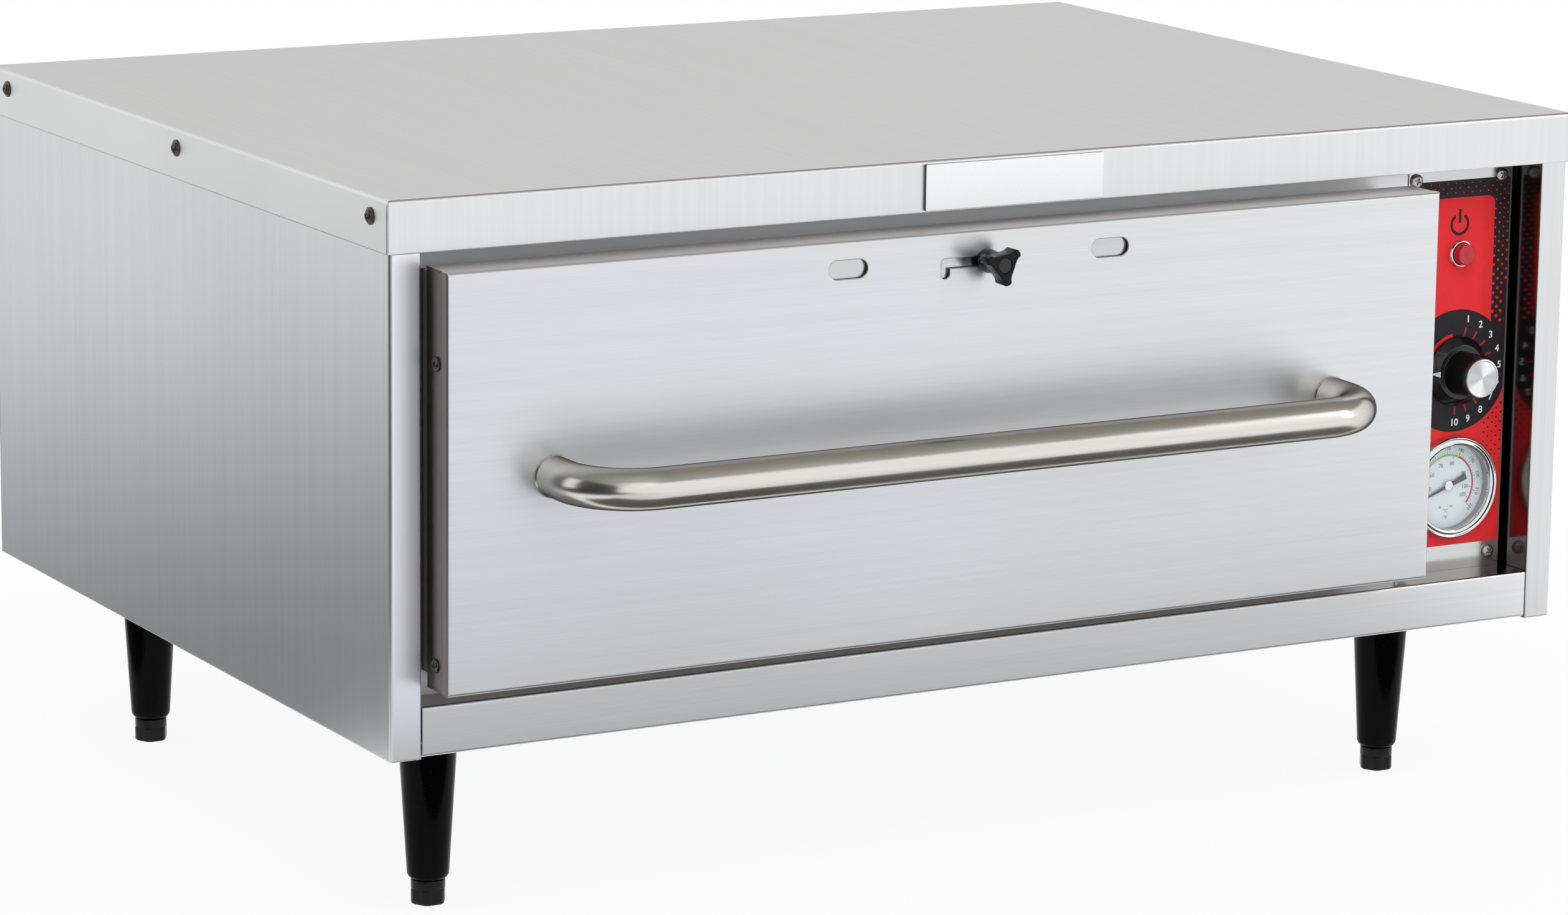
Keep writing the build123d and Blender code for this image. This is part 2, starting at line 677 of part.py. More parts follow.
with BuildPart() as thermostat_shaft:
    rod_y(CONTROL_X, (SHAFT_FRONT, SHAFT_REAR), KNOB_Z, SHAFT_RADIUS)
save(thermostat_shaft, "thermostat_shaft")

with BuildPart() as thermostat_body:
    block((CONTROL_X - 18, CONTROL_X + 18), (27, THERMOSTAT_REAR), (KNOB_Z - 17, KNOB_Z + 17))
    block((CONTROL_X - 24, CONTROL_X + 24), (FLANGE_BACK, 27), (KNOB_Z - 11, KNOB_Z + 11))
    rod_y(CONTROL_X, (OVERLAY_FRONT, FLANGE_BACK), KNOB_Z, BUSHING_RADIUS)
    rod_y(CONTROL_X, (OVERLAY_FRONT, SHAFT_REAR + 1), KNOB_Z, SHAFT_RADIUS + 0.06, Mode.SUBTRACT)
save(thermostat_body, "thermostat_body")

# ---------------------------------------------------------------- thermometer
GAUGE_BEZEL_RADIUS = 30.2
GAUGE_BEZEL_FRONT = 19.0
GAUGE_GLASS = (21.2, 22.2)
GAUGE_GLASS_RADIUS = 25.6
DIAL_FRONT = 27.4
DIAL_REAR = 28.2
DIAL_RADIUS = 25.4
GAUGE_CASE_FLOOR = 44.0
NEEDLE_Y = (25.6, 26.2)
NEEDLE_BOSS_RADIUS = 3.0
SPINDLE_RADIUS = 1.2
SPINDLE_REAR = 31.0
NEEDLE_LENGTH = 19.5
NEEDLE_POINT = 4.0
NEEDLE_ROOT_HALF = 0.9
NEEDLE_NECK_HALF = 0.55
TAIL_LENGTH = 13.0
TAIL_END_HALF = 1.8
TAIL_ROOT_HALF = 1.3
NEEDLE_ANGLE = 201.0

with BuildPart() as gauge_bezel:
    turned_y(
        CONTROL_X,
        GAUGE_Z,
        [
            (GAUGE_GLASS_RADIUS, OVERLAY_FRONT),
            (GAUGE_GLASS_RADIUS, 21.0),
            (GAUGE_GLASS_RADIUS - 0.8, 20.6),
            (GAUGE_GLASS_RADIUS - 0.4, 19.6),
            (GAUGE_GLASS_RADIUS + 1.2, GAUGE_BEZEL_FRONT),
            (GAUGE_BEZEL_RADIUS - 2.0, GAUGE_BEZEL_FRONT + 0.3),
            (GAUGE_BEZEL_RADIUS - 0.5, GAUGE_BEZEL_FRONT + 1.4),
            (GAUGE_BEZEL_RADIUS, GAUGE_BEZEL_FRONT + 2.8),
            (GAUGE_BEZEL_RADIUS, OVERLAY_FRONT),
        ],
    )
save(gauge_bezel, "gauge_bezel")

with BuildPart() as gauge_lens:
    rod_y(CONTROL_X, GAUGE_GLASS, GAUGE_Z, GAUGE_GLASS_RADIUS)
save(gauge_lens, "gauge_lens")

with BuildPart() as gauge_case:
    rod_y(CONTROL_X, (OVERLAY_FRONT, GAUGE_CASE_REAR), GAUGE_Z, GAUGE_CASE_RADIUS)
    rod_y(CONTROL_X, (OVERLAY_FRONT, GAUGE_CASE_FLOOR), GAUGE_Z, DIAL_RADIUS, Mode.SUBTRACT)
save(gauge_case, "gauge_case")

with BuildPart() as gauge_dial:
    rod_y(CONTROL_X, (DIAL_FRONT, DIAL_REAR), GAUGE_Z, DIAL_RADIUS)
    rod_y(CONTROL_X, (DIAL_FRONT, DIAL_REAR), GAUGE_Z, SPINDLE_RADIUS + GAP, Mode.SUBTRACT)
save(gauge_dial, "gauge_dial")

# The needle's own x axis points along it, at the reading of a cold cabinet.
needle_turn = math.radians(NEEDLE_ANGLE)
needle_plane = Plane(
    origin=at(CONTROL_X, NEEDLE_Y[1], GAUGE_Z),
    x_dir=(math.cos(needle_turn), 0, math.sin(needle_turn)),
    z_dir=(0, -1, 0),
)
with BuildPart() as gauge_needle:
    with BuildSketch(needle_plane):
        with BuildLine():
            Polyline(
                (-TAIL_LENGTH, -TAIL_END_HALF),
                (-NEEDLE_BOSS_RADIUS, -TAIL_ROOT_HALF),
                (NEEDLE_BOSS_RADIUS, -NEEDLE_ROOT_HALF),
                (NEEDLE_LENGTH - NEEDLE_POINT, -NEEDLE_NECK_HALF),
                (NEEDLE_LENGTH, 0),
                (NEEDLE_LENGTH - NEEDLE_POINT, NEEDLE_NECK_HALF),
                (NEEDLE_BOSS_RADIUS, NEEDLE_ROOT_HALF),
                (-NEEDLE_BOSS_RADIUS, TAIL_ROOT_HALF),
                (-TAIL_LENGTH, TAIL_END_HALF),
                close=True,
            )
        make_face()
        Circle(NEEDLE_BOSS_RADIUS)
    extrude(amount=NEEDLE_Y[1] - NEEDLE_Y[0])
    rod_y(CONTROL_X, (NEEDLE_Y[0] - 0.8, NEEDLE_Y[1]), GAUGE_Z, 1.8)
    rod_y(CONTROL_X, (NEEDLE_Y[1], SPINDLE_REAR), GAUGE_Z, SPINDLE_RADIUS)
save(gauge_needle, "gauge_needle")

# ---------------------------------------------------------------- badge plate, left bare
BADGE_X = (317.5, 430.5)
BADGE_Z = (269.5, 295.0)
BADGE_THICKNESS = 2.0
with BuildPart() as badge_plate:
    block(BADGE_X, (COVER_FRONT - BADGE_THICKNESS, COVER_FRONT), BADGE_Z)
    fillet(badge_plate.edges().filter_by(Axis.Y), 1.0)
    fillet(badge_plate.edges().group_by(Axis.Y)[0], 0.5)
save(badge_plate, "badge_plate")

# ---------------------------------------------------------------- mains inlet and wiring
CORD_BORE_RADIUS = 4.5
with BuildPart() as cord_gland:
    rod_y(GLAND_X, (PANEL_REAR - 14, BACK_FACE), GLAND_Z, GLAND_BODY_RADIUS - 0.1)
    gland_plane = Plane(
        origin=at(GLAND_X, BACK_FACE, GLAND_Z), x_dir=(1, 0, 0), z_dir=(0, 1, 0)
    )
    with BuildSketch(gland_plane):
        RegularPolygon(13, 6, major_radius=False)
    extrude(amount=GLAND_REACH)
    chamfer(cord_gland.edges().group_by(Axis.Y)[-1], 1.5)
    gland_span = (PANEL_REAR - 14, BACK_MOST)
    rod_y(GLAND_X, gland_span, GLAND_Z, CORD_BORE_RADIUS, Mode.SUBTRACT)
save(cord_gland, "cord_gland")

with BuildPart() as gland_locknut:
    nut_plane = Plane(
        origin=at(GLAND_X, PANEL_REAR, GLAND_Z), x_dir=(1, 0, 0), z_dir=(0, -1, 0)
    )
    with BuildSketch(nut_plane):
        RegularPolygon(13, 6, major_radius=False)
        Circle(GLAND_BODY_RADIUS, mode=Mode.SUBTRACT)
    extrude(amount=5)
save(gland_locknut, "gland_locknut")

BLOCK_X = (DIVIDER_X[1], DIVIDER_X[1] + 18)
BLOCK_Y = (380.0, 430.0)
BLOCK_Z = (60.0, 85.0)
with BuildPart() as terminal_block:
    block(BLOCK_X, BLOCK_Y, BLOCK_Z)
    for pole in range(4):
        pole_y = BLOCK_Y[0] + 7 + 12 * pole
        rod_x((BLOCK_X[1] - 8, BLOCK_X[1]), pole_y, sum(BLOCK_Z) / 2, 3, Mode.SUBTRACT)
save(terminal_block, "terminal_block")

WIRE_RADIUS = 1.5
WIRE_ROUTES = [
    [
        (GLAND_X, 536, GLAND_Z),
        (GLAND_X, 470, GLAND_Z),
        (GLAND_X, 395, 104),
        (658, 395, 104),
        (658, 395, 85),
    ],
    [(658, 415, 85), (658, 415, 214), (690, 415, 214), (690, SWITCH_REAR, 214)],
    [(696, SWITCH_REAR, 210), (696, 76, 210), (684, 76, 156), (684, THERMOSTAT_REAR, 156)],
    [(703, THERMOSTAT_REAR, 136), (703, 110, 136), (703, 110, ELEMENT_Z), (PIN_END, 110, ELEMENT_Z)],
    [(PIN_END, 440, ELEMENT_Z), (694, 440, ELEMENT_Z), (694, 422, 72), (BLOCK_X[1], 422, 72)],
]
wire_runs = [tube(route, WIRE_RADIUS, 6) for route in WIRE_ROUTES]
with BuildPart() as wiring:
    for wire_run in wire_runs:
        add(wire_run)
save(wiring, "wiring")

# ---------------------------------------------------------------- drawer front
VENT_CENTRES = (257.0, 421.0)
VENT_Z = 246.0
VENT_LENGTH = 24.0
VENT_HEIGHT = 10.4
SLOT_Z = 244.6
SLOT_WIDTH = 5.6
SLOT_RIGHT = 343.0
SHUTTER_TRAVEL = 26.0
SLOT_LEFT = SLOT_RIGHT - SHUTTER_TRAVEL
HOOK_DROP = 5.5
SKIN_BACK = DRAWER_FACE + SHEET
SIDE_SCREWS = [(-11.0, 212.0), (-9.0, 52.0)]

with BuildPart() as drawer_front:
    skin_x = (DRAWER_LEFT, DRAWER_RIGHT)
    skin_z = (DRAWER_LOW, DRAWER_HIGH)
    block(skin_x, (DRAWER_FACE, DRAWER_REAR), skin_z)
    fillet(drawer_front.edges().group_by(Axis.Y)[0], 1.6)
    inside_x = (DRAWER_LEFT + SHEET, DRAWER_RIGHT - SHEET)
    inside_z = (DRAWER_LOW + SHEET, DRAWER_HIGH - SHEET)
    block(inside_x, (SKIN_BACK, DRAWER_REAR), inside_z, mode=Mode.SUBTRACT)
    for edge_x in ((DRAWER_LEFT, DRAWER_LEFT + SHEET), (DRAWER_RIGHT - SHEET, DRAWER_RIGHT)):
        block(edge_x, (DRAWER_FACE + SIDE_RETURN, DRAWER_REAR), skin_z, mode=Mode.SUBTRACT)
    skin = (DRAWER_FACE, SKIN_BACK)
    for vent_x in VENT_CENTRES:
        obround_y(vent_x, skin, VENT_Z, VENT_LENGTH, VENT_HEIGHT)
    slot_middle = (SLOT_LEFT + SLOT_RIGHT) / 2
    obround_y(slot_middle, skin, SLOT_Z, SHUTTER_TRAVEL + SLOT_WIDTH, SLOT_WIDTH)
    hook_plane = Plane(
        origin=at(SLOT_LEFT, DRAWER_FACE, SLOT_Z - HOOK_DROP / 2),
        x_dir=(0, 0, 1),
        z_dir=(0, 1, 0),
    )
    with BuildSketch(hook_plane):
        SlotOverall(HOOK_DROP + SLOT_WIDTH, SLOT_WIDTH)
    extrude(amount=SHEET, mode=Mode.SUBTRACT)
save(drawer_front, "drawer_front")

# ---------------------------------------------------------------- drawer inner panel
INNER_LEFT = DRAWER_LEFT + SHEET + 0.1
INNER_RIGHT = DRAWER_RIGHT - SHEET - 0.1
INNER_Z = (DRAWER_LOW + SHEET + 0.1, DRAWER_HIGH - SHEET - 0.1)
PLUG_X = (30.0, 632.0)
PLUG_Z = (42.0, 256.0)

with BuildPart() as drawer_inner_panel:
    block((INNER_LEFT, INNER_RIGHT), (-24, DRAWER_REAR), INNER_Z)
    block(PLUG_X, (DRAWER_REAR, PLUG_REAR), PLUG_Z)
    block((INNER_LEFT + SHEET, INNER_RIGHT - SHEET), (-24, DRAWER_REAR - SHEET), INNER_Z, Mode.SUBTRACT)
    block(
        (PLUG_X[0] + SHEET, PLUG_X[1] - SHEET),
        (DRAWER_REAR - SHEET, PLUG_REAR - SHEET),
        (PLUG_Z[0] + SHEET, PLUG_Z[1] - SHEET),
        mode=Mode.SUBTRACT,
    )
    for wall_x in ((INNER_LEFT, INNER_LEFT + SHEET), (INNER_RIGHT - SHEET, INNER_RIGHT)):
        for screw_y, screw_z in SIDE_SCREWS:
            rod_x(wall_x, screw_y, screw_z, SCREW_SHANK + SHANK_CLEARANCE, Mode.SUBTRACT)
    for vent_x in VENT_CENTRES:
        obround_y(vent_x, (PLUG_REAR - SHEET, PLUG_REAR), 238, 44, 8)
save(drawer_inner_panel, "drawer_inner_panel")

with BuildPart() as drawer_side_screws:
    for screw_y, screw_z in SIDE_SCREWS:
        with Locations(Location(at(INNER_LEFT, screw_y, screw_z), FACING_LEFT)):
            add(pan_screw.part)
        with Locations(Location(at(INNER_RIGHT, screw_y, screw_z), FACING_RIGHT)):
            add(pan_screw.part)
save(drawer_side_screws, "drawer_side_screws")

with BuildPart() as drawer_insulation:
    block((34, 628), (-24.5, PLUG_REAR - SHEET), (PLUG_Z[0] + SHEET, 228))
save(drawer_insulation, "drawer_insulation")

with BuildPart() as drawer_gasket:
    seal_y = (PLUG_REAR, RECESS_DEPTH - GAP)
    block(PLUG_X, seal_y, PLUG_Z)
    block((39.5, 622.5), seal_y, (47.5, 246.5), mode=Mode.SUBTRACT)
save(drawer_gasket, "drawer_gasket")

# ---------------------------------------------------------------- handle
HANDLE_LINE = DRAWER_FACE - HANDLE_REACH
handle_bar = tube(
    [
        (HANDLE_LEFT, DRAWER_FACE, HANDLE_Z),
        (HANDLE_LEFT, HANDLE_LINE, HANDLE_Z),
        (HANDLE_RIGHT, HANDLE_LINE, HANDLE_Z),
        (HANDLE_RIGHT, DRAWER_FACE, HANDLE_Z),
    ],
    HANDLE_RADIUS,
    HANDLE_BEND,
)
with BuildPart() as drawer_handle:
    add(handle_bar)
    for root_x in (HANDLE_LEFT, HANDLE_RIGHT):
        rod_y(root_x, (DRAWER_FACE - 1.4, DRAWER_FACE), HANDLE_Z, HANDLE_RADIUS + 0.7)
save(drawer_handle, "drawer_handle")

# ---------------------------------------------------------------- vent shutter and star knob
SHUTTER_Y = (-23.6, -22.4)
SHUTTER_X = (238.0, 468.0)
SHUTTER_Z = (236.0, 256.0)
GUIDE_X = (208.0, 472.0)
GUIDE_Y = (SKIN_BACK, -20.9)
LIP_Y = (SHUTTER_Y[1] + GAP, GUIDE_Y[1])
STUD_RADIUS = 2.5

with BuildPart() as vent_shutter:
    block(SHUTTER_X, SHUTTER_Y, SHUTTER_Z)
    for vent_x in VENT_CENTRES:
        obround_y(vent_x + SHUTTER_TRAVEL, SHUTTER_Y, VENT_Z, VENT_LENGTH, VENT_HEIGHT)
    rod_y(SLOT_RIGHT, SHUTTER_Y, SLOT_Z, STUD_RADIUS, Mode.SUBTRACT)
save(vent_shutter, "vent_shutter")

KNOB_FACE = DRAWER_FACE - 19.0
KNOB_REAR = DRAWER_FACE - 0.8
with BuildPart() as clamp_stud:
    rod_y(SLOT_RIGHT, (KNOB_FACE + 5, SHUTTER_Y[1]), SLOT_Z, STUD_RADIUS)
    rod_y(SLOT_RIGHT, (SHUTTER_Y[1], SHUTTER_Y[1] + 1.2), SLOT_Z, 4.5)
save(clamp_stud, "clamp_stud")

with BuildPart() as shutter_guides:
    for base_z, lip_z in (
        ((232.6, SHUTTER_Z[0] - GAP), (SHUTTER_Z[0] - GAP, SHUTTER_Z[0] + 2.5)),
        ((SHUTTER_Z[1] + GAP, 259.6), (SHUTTER_Z[1] - 2.5, SHUTTER_Z[1] + GAP)),
    ):
        block(GUIDE_X, GUIDE_Y, base_z)
        block(GUIDE_X, LIP_Y, lip_z)
save(shutter_guides, "shutter_guides")

ARM_ANGLES = (40.0, 160.0, 280.0)
ARM_REACH = 11.0
ARM_TIP = 4.8
ARM_ROOT = 10.0
ARM_DEPTH = 9.5
HUB_RADIUS = 6.7
star_plane = Plane(origin=at(SLOT_RIGHT, KNOB_FACE, SLOT_Z), x_dir=(1, 0, 0), z_dir=(0, 1, 0))
with BuildSketch() as star_arm:
    with BuildLine():
        Polyline(
            (0, -ARM_ROOT / 2),
            (ARM_REACH - 1.0, -ARM_TIP / 2),
            (ARM_REACH, 0),
            (ARM_REACH - 1.0, ARM_TIP / 2),
            (0, ARM_ROOT / 2),
            close=True,
        )
    make_face()

with BuildPart() as star_knob:
    with BuildSketch(star_plane):
        Circle(6.0)
        for arm_angle in ARM_ANGLES:
            add(star_arm.sketch, rotation=-arm_angle)
    extrude(amount=ARM_DEPTH)
    chamfer(star_knob.edges().group_by(Axis.Y)[0], 0.5)
    rod_y(SLOT_RIGHT, (KNOB_FACE + ARM_DEPTH - 2, KNOB_REAR), SLOT_Z, HUB_RADIUS)
    rod_y(SLOT_RIGHT, (KNOB_FACE, KNOB_FACE + 0.6), SLOT_Z, 4.4, Mode.SUBTRACT)
    stud_bore = (KNOB_FACE + 5, KNOB_REAR)
    rod_y(SLOT_RIGHT, stud_bore, SLOT_Z, STUD_RADIUS + 0.06, Mode.SUBTRACT)
save(star_knob, "star_knob")

# ---------------------------------------------------------------- slides and rollers
RAIL_Z = (120.0, 160.0)
RAIL_SHEET = 2.0
FIXED_Y = (32.0, 512.0)
FIXED_DEPTH = 15.0
ROLLER_RADIUS = 9.0
ROLLER_PIN = 3.0
DRAWER_TRAVEL = 420.0
ROLLER_OVERLAP = 22.0
FRONT_ROLLER = (46.0, RAIL_Z[0] + RAIL_SHEET + 0.6 + ROLLER_RADIUS)
REAR_ROLLER = (
    FRONT_ROLLER[0] + DRAWER_TRAVEL + ROLLER_OVERLAP,
    RAIL_Z[1] - RAIL_SHEET - 0.1 - ROLLER_RADIUS,
)
WEB_X = (56.0, 58.0)
TREAD_Z = FRONT_ROLLER[1] + ROLLER_RADIUS + 0.1


def fixed_rail(mirror):
    """The channel on the cavity wall, with the pin of its front roller."""

    def span(low, high):
        return mirrored_x((low, high), DRAWER_MIDDLE) if mirror else (low, high)

    wall = CAVITY_LEFT
    with BuildPart() as rail:
        block(span(wall, wall + RAIL_SHEET), FIXED_Y, RAIL_Z)
        for edge_z in ((RAIL_Z[0], RAIL_Z[0] + RAIL_SHEET), (RAIL_Z[1] - RAIL_SHEET, RAIL_Z[1])):
            block(span(wall, wall + FIXED_DEPTH), FIXED_Y, edge_z)
        rod_x(span(wall + RAIL_SHEET, 55), FRONT_ROLLER[0], FRONT_ROLLER[1], ROLLER_PIN)
    return rail


def drawer_rail(mirror):
    """The moving rail: a web with a tread over the front roller and a rear roller pin."""

    def span(low, high):
        return mirrored_x((low, high), DRAWER_MIDDLE) if mirror else (low, high)

    with BuildPart() as rail:
        block(span(*WEB_X), (24, 500), (126, 157))
        block(span(43, WEB_X[0]), (24, REAR_ROLLER[0] - 14), (TREAD_Z, TREAD_Z + RAIL_SHEET))
        rod_x(span(43.2, WEB_X[0]), REAR_ROLLER[0], REAR_ROLLER[1], ROLLER_PIN)
    return rail


def roller_pair(centre):
    """The left and the right roller of one pair."""
    roller_y, roller_z = centre
    with BuildPart() as pair:
        for roller_x in ((43.4, 53.4), mirrored_x((43.4, 53.4), DRAWER_MIDDLE)):
            rod_x(roller_x, roller_y, roller_z, ROLLER_RADIUS)
            rod_x(roller_x, roller_y, roller_z, ROLLER_PIN + 0.06, Mode.SUBTRACT)
    return pair


left_fixed_rail = fixed_rail(mirror=False)
save(left_fixed_rail, "left_fixed_rail")
right_fixed_rail = fixed_rail(mirror=True)
save(right_fixed_rail, "right_fixed_rail")
left_drawer_rail = drawer_rail(mirror=False)
save(left_drawer_rail, "left_drawer_rail")
right_drawer_rail = drawer_rail(mirror=True)
save(right_drawer_rail, "right_drawer_rail")
front_rollers = roller_pair(FRONT_ROLLER)
save(front_rollers, "front_rollers")
rear_rollers = roller_pair(REAR_ROLLER)
save(rear_rollers, "rear_rollers")

# ---------------------------------------------------------------- pan frame and food pan
FRAME_X = (WEB_X[1], 2 * DRAWER_MIDDLE - WEB_X[1])
FRAME_REAR = 370.0
PAN_FLANGE_Z = 217.0
PAN_RIM = (530.0, 325.0)
PAN_MOUTH = (500.0, 295.0)
PAN_BASE = (478.0, 273.0)
PAN_DEPTH = 138.0
PAN_SHEET = 1.0
PAN_CORNER = 12.0
PAN_Y = 36.0 + PAN_RIM[1] / 2
PAN_FOLD = 1.5

with BuildPart() as pan_frame:
    frame_y = (PLUG_REAR, FRAME_REAR)
    block(FRAME_X, frame_y, (126, PAN_FLANGE_Z))
    inside_x = (FRAME_X[0] + PAN_FOLD, FRAME_X[1] - PAN_FOLD)
    inside_y = (PLUG_REAR + PAN_FOLD, FRAME_REAR - PAN_FOLD)
    block(inside_x, inside_y, (126, PAN_FLANGE_Z - PAN_FOLD), mode=Mode.SUBTRACT)
    block(
        (DRAWER_MIDDLE - 254, DRAWER_MIDDLE + 254),
        (PAN_Y - 151, PAN_Y + 151),
        (PAN_FLANGE_Z - PAN_FOLD, PAN_FLANGE_Z),
        mode=Mode.SUBTRACT,
    )
    block(inside_x, (FRAME_REAR - PAN_FOLD, FRAME_REAR), (126, 190), mode=Mode.SUBTRACT)
save(pan_frame, "pan_frame")


def pan_section(height, size, wall):
    """A rounded rectangle of the pan at one height, drawn in by the wall."""
    with BuildSketch(Plane.XY.offset(up(height))) as section:
        with Locations((across(DRAWER_MIDDLE), back(PAN_Y))):
            RectangleRounded(size[0] - 2 * wall, size[1] - 2 * wall, 38 - wall)
    return section.sketch


with BuildPart() as pan_inside:
    inside_low = pan_section(PAN_FLANGE_Z - PAN_DEPTH + PAN_SHEET, PAN_BASE, PAN_SHEET)
    inside_high = pan_section(PAN_FLANGE_Z + PAN_SHEET, PAN_MOUTH, PAN_SHEET)
    loft([inside_low, inside_high])
    fillet(pan_inside.edges().group_by(Axis.Z)[0], PAN_CORNER - PAN_SHEET)

with BuildPart() as food_pan:
    outside_low = pan_section(PAN_FLANGE_Z - PAN_DEPTH, PAN_BASE, 0)
    outside_high = pan_section(PAN_FLANGE_Z, PAN_MOUTH, 0)
    loft([outside_low, outside_high])
    fillet(food_pan.edges().group_by(Axis.Z)[0], PAN_CORNER)
    with BuildSketch(Plane.XY.offset(up(PAN_FLANGE_Z))):
        with Locations((across(DRAWER_MIDDLE), back(PAN_Y))):
            RectangleRounded(*PAN_RIM, 45)
    extrude(amount=PAN_SHEET)
    add(pan_inside.part, mode=Mode.SUBTRACT)
save(food_pan, "food_pan")
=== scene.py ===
"""Looks of the countertop warming drawer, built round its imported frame. Lengths are in metres."""

import math

import bmesh
import bpy
from mathutils import Matrix, Vector


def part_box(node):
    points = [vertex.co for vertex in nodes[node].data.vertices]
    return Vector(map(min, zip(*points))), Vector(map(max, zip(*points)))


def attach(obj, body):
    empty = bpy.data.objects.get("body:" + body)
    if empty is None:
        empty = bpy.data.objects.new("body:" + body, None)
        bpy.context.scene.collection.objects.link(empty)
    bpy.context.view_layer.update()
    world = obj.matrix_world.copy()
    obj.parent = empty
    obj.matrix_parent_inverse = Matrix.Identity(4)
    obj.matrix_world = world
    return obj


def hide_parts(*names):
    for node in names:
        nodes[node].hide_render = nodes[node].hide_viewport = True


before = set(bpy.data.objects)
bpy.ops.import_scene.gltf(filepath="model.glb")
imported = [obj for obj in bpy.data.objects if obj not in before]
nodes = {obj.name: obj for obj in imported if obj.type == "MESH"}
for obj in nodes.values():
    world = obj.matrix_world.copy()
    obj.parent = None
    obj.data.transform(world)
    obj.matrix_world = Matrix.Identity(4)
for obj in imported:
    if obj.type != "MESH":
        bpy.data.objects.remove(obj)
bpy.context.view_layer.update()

MM = 0.001
UPRIGHT = Vector((0, 0, 1))


def middle(node):
    low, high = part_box(node)
    return (low + high) / 2


# ---------------------------------------------------------------- node trees
class Graph:
    """Adds nodes to a tree; a value that is a socket becomes a link."""

    def __init__(self, tree):
        self.tree = tree

    def node(self, kind, values=None, **settings):
        made = self.tree.nodes.new(kind)
        for name, setting in settings.items():
            setattr(made, name, setting)
        self.feed(made, values or {})
        return made

    def feed(self, made, values):
        """Links or sets a node's inputs."""
        for socket, value in values.items():
            if isinstance(value, bpy.types.NodeSocket):
                self.tree.links.new(value, made.inputs[socket])
            else:
                made.inputs[socket].default_value = value

    def noise(self, place, scale, detail=2.0):
        values = {"Vector": place, "Scale": scale, "Detail": detail}
        return self.node("ShaderNodeTexNoise", values).outputs[0]

    def math(self, operation, first, second=0.0):
        return self.node("ShaderNodeMath", {0: first, 1: second}, operation=operation).outputs[0]

    def spread(self, value, low, high, start=0.0, end=1.0):
        """The value taken from one range to another."""
        sizes = {"Value": value, "From Min": start, "From Max": end, "To Min": low, "To Max": high}
        smooth = self.node("ShaderNodeMapRange", sizes, interpolation_type="SMOOTHSTEP")
        return smooth.outputs["Result"]

    def tint(self, factor, first, second):
        """A colour between two colours."""
        made = self.node("ShaderNodeMix", {"Factor": factor}, data_type="RGBA")
        for socket, colour in ((6, first), (7, second)):
            linked = isinstance(colour, bpy.types.NodeSocket)
            self.feed(made, {socket: colour if linked else (*colour, 1)})
        return made.outputs[2]


def shader_group(name, inputs, outputs):
    """An empty shader group with its sockets: (name, type, default) in, names to types out."""
    tree = bpy.data.node_groups.new(name, "ShaderNodeTree")
    for label, kind, start in inputs:
        socket = tree.interface.new_socket(name=label, in_out="INPUT", socket_type=kind)
        if start is not None:
            socket.default_value = start
    for label, kind in outputs:
        tree.interface.new_socket(name=label, in_out="OUTPUT", socket_type=kind)
    return Graph(tree), tree.nodes.new("NodeGroupInput"), tree.nodes.new("NodeGroupOutput")


FLOAT, VECTOR, COLOUR = "NodeSocketFloat", "NodeSocketVector", "NodeSocketColor"


def grain_group():
    """Drawn-out streaks of a brushed or rolled surface, and the slow cloud of handling over it."""
    graph, given, result = shader_group(
        "Grain",
        [("Vector", VECTOR, None), ("Stretch", VECTOR, (900, 900, 6)), ("Cloud Scale", FLOAT, 5.0)],
        [("Streak", FLOAT), ("Cloud", FLOAT)],
    )
    drawn = graph.node(
        "ShaderNodeMapping", {"Vector": given.outputs[0], "Scale": given.outputs[1]}
    ).outputs[0]
    both = graph.math("ADD", graph.noise(drawn, 0.35), graph.noise(drawn, 1.3, 3.0))
    streak = graph.math("MULTIPLY", both, 0.5)
    cloud = graph.node(
        "ShaderNodeTexNoise",
        {"Vector": given.outputs[0], "Scale": given.outputs[2], "Detail": 3.0, "Roughness": 0.55},
    )
    graph.feed(result, {"Streak": streak, "Cloud": cloud.outputs[0]})
    return graph.tree


def edge_group():
    """How near a point is to an edge: 0 on the flat, 1 on a sharp edge or corner."""
    graph, given, result = shader_group("Edge", [("Reach", FLOAT, 0.0012)], [("Edge", FLOAT)])
    bent = graph.node("ShaderNodeBevel", {"Radius": given.outputs[0]}, samples=4).outputs[0]
    straight = graph.node("ShaderNodeNewGeometry").outputs["Normal"]
    dot = graph.node("ShaderNodeVectorMath", {0: bent, 1: straight}, operation="DOT_PRODUCT")
    away = graph.math("SUBTRACT", 1.0, dot.outputs["Value"])
    graph.feed(result, {"Edge": graph.spread(away, 0.0, 1.0, 0.02, 0.3)})
    return graph.tree


def speckle_group():
    """Fine moulded or cast texture and sparse dust specks."""
    graph, given, result = shader_group(
        "Speckle", [("Vector", VECTOR, None), ("Scale", FLOAT, 900.0)], [
            ("Skin", FLOAT), ("Dust", FLOAT),
        ]
    )
    skin = graph.noise(given.outputs[0], given.outputs[1])
    spots = graph.node("ShaderNodeTexVoronoi", {"Vector": given.outputs[0], "Scale": 420.0})
    graph.feed(result, {"Skin": skin})
    dust = graph.spread(spots.outputs["Distance"], 1.0, 0.0, 0.03, 0.1)
    graph.feed(result, {"Dust": dust})
    return graph.tree


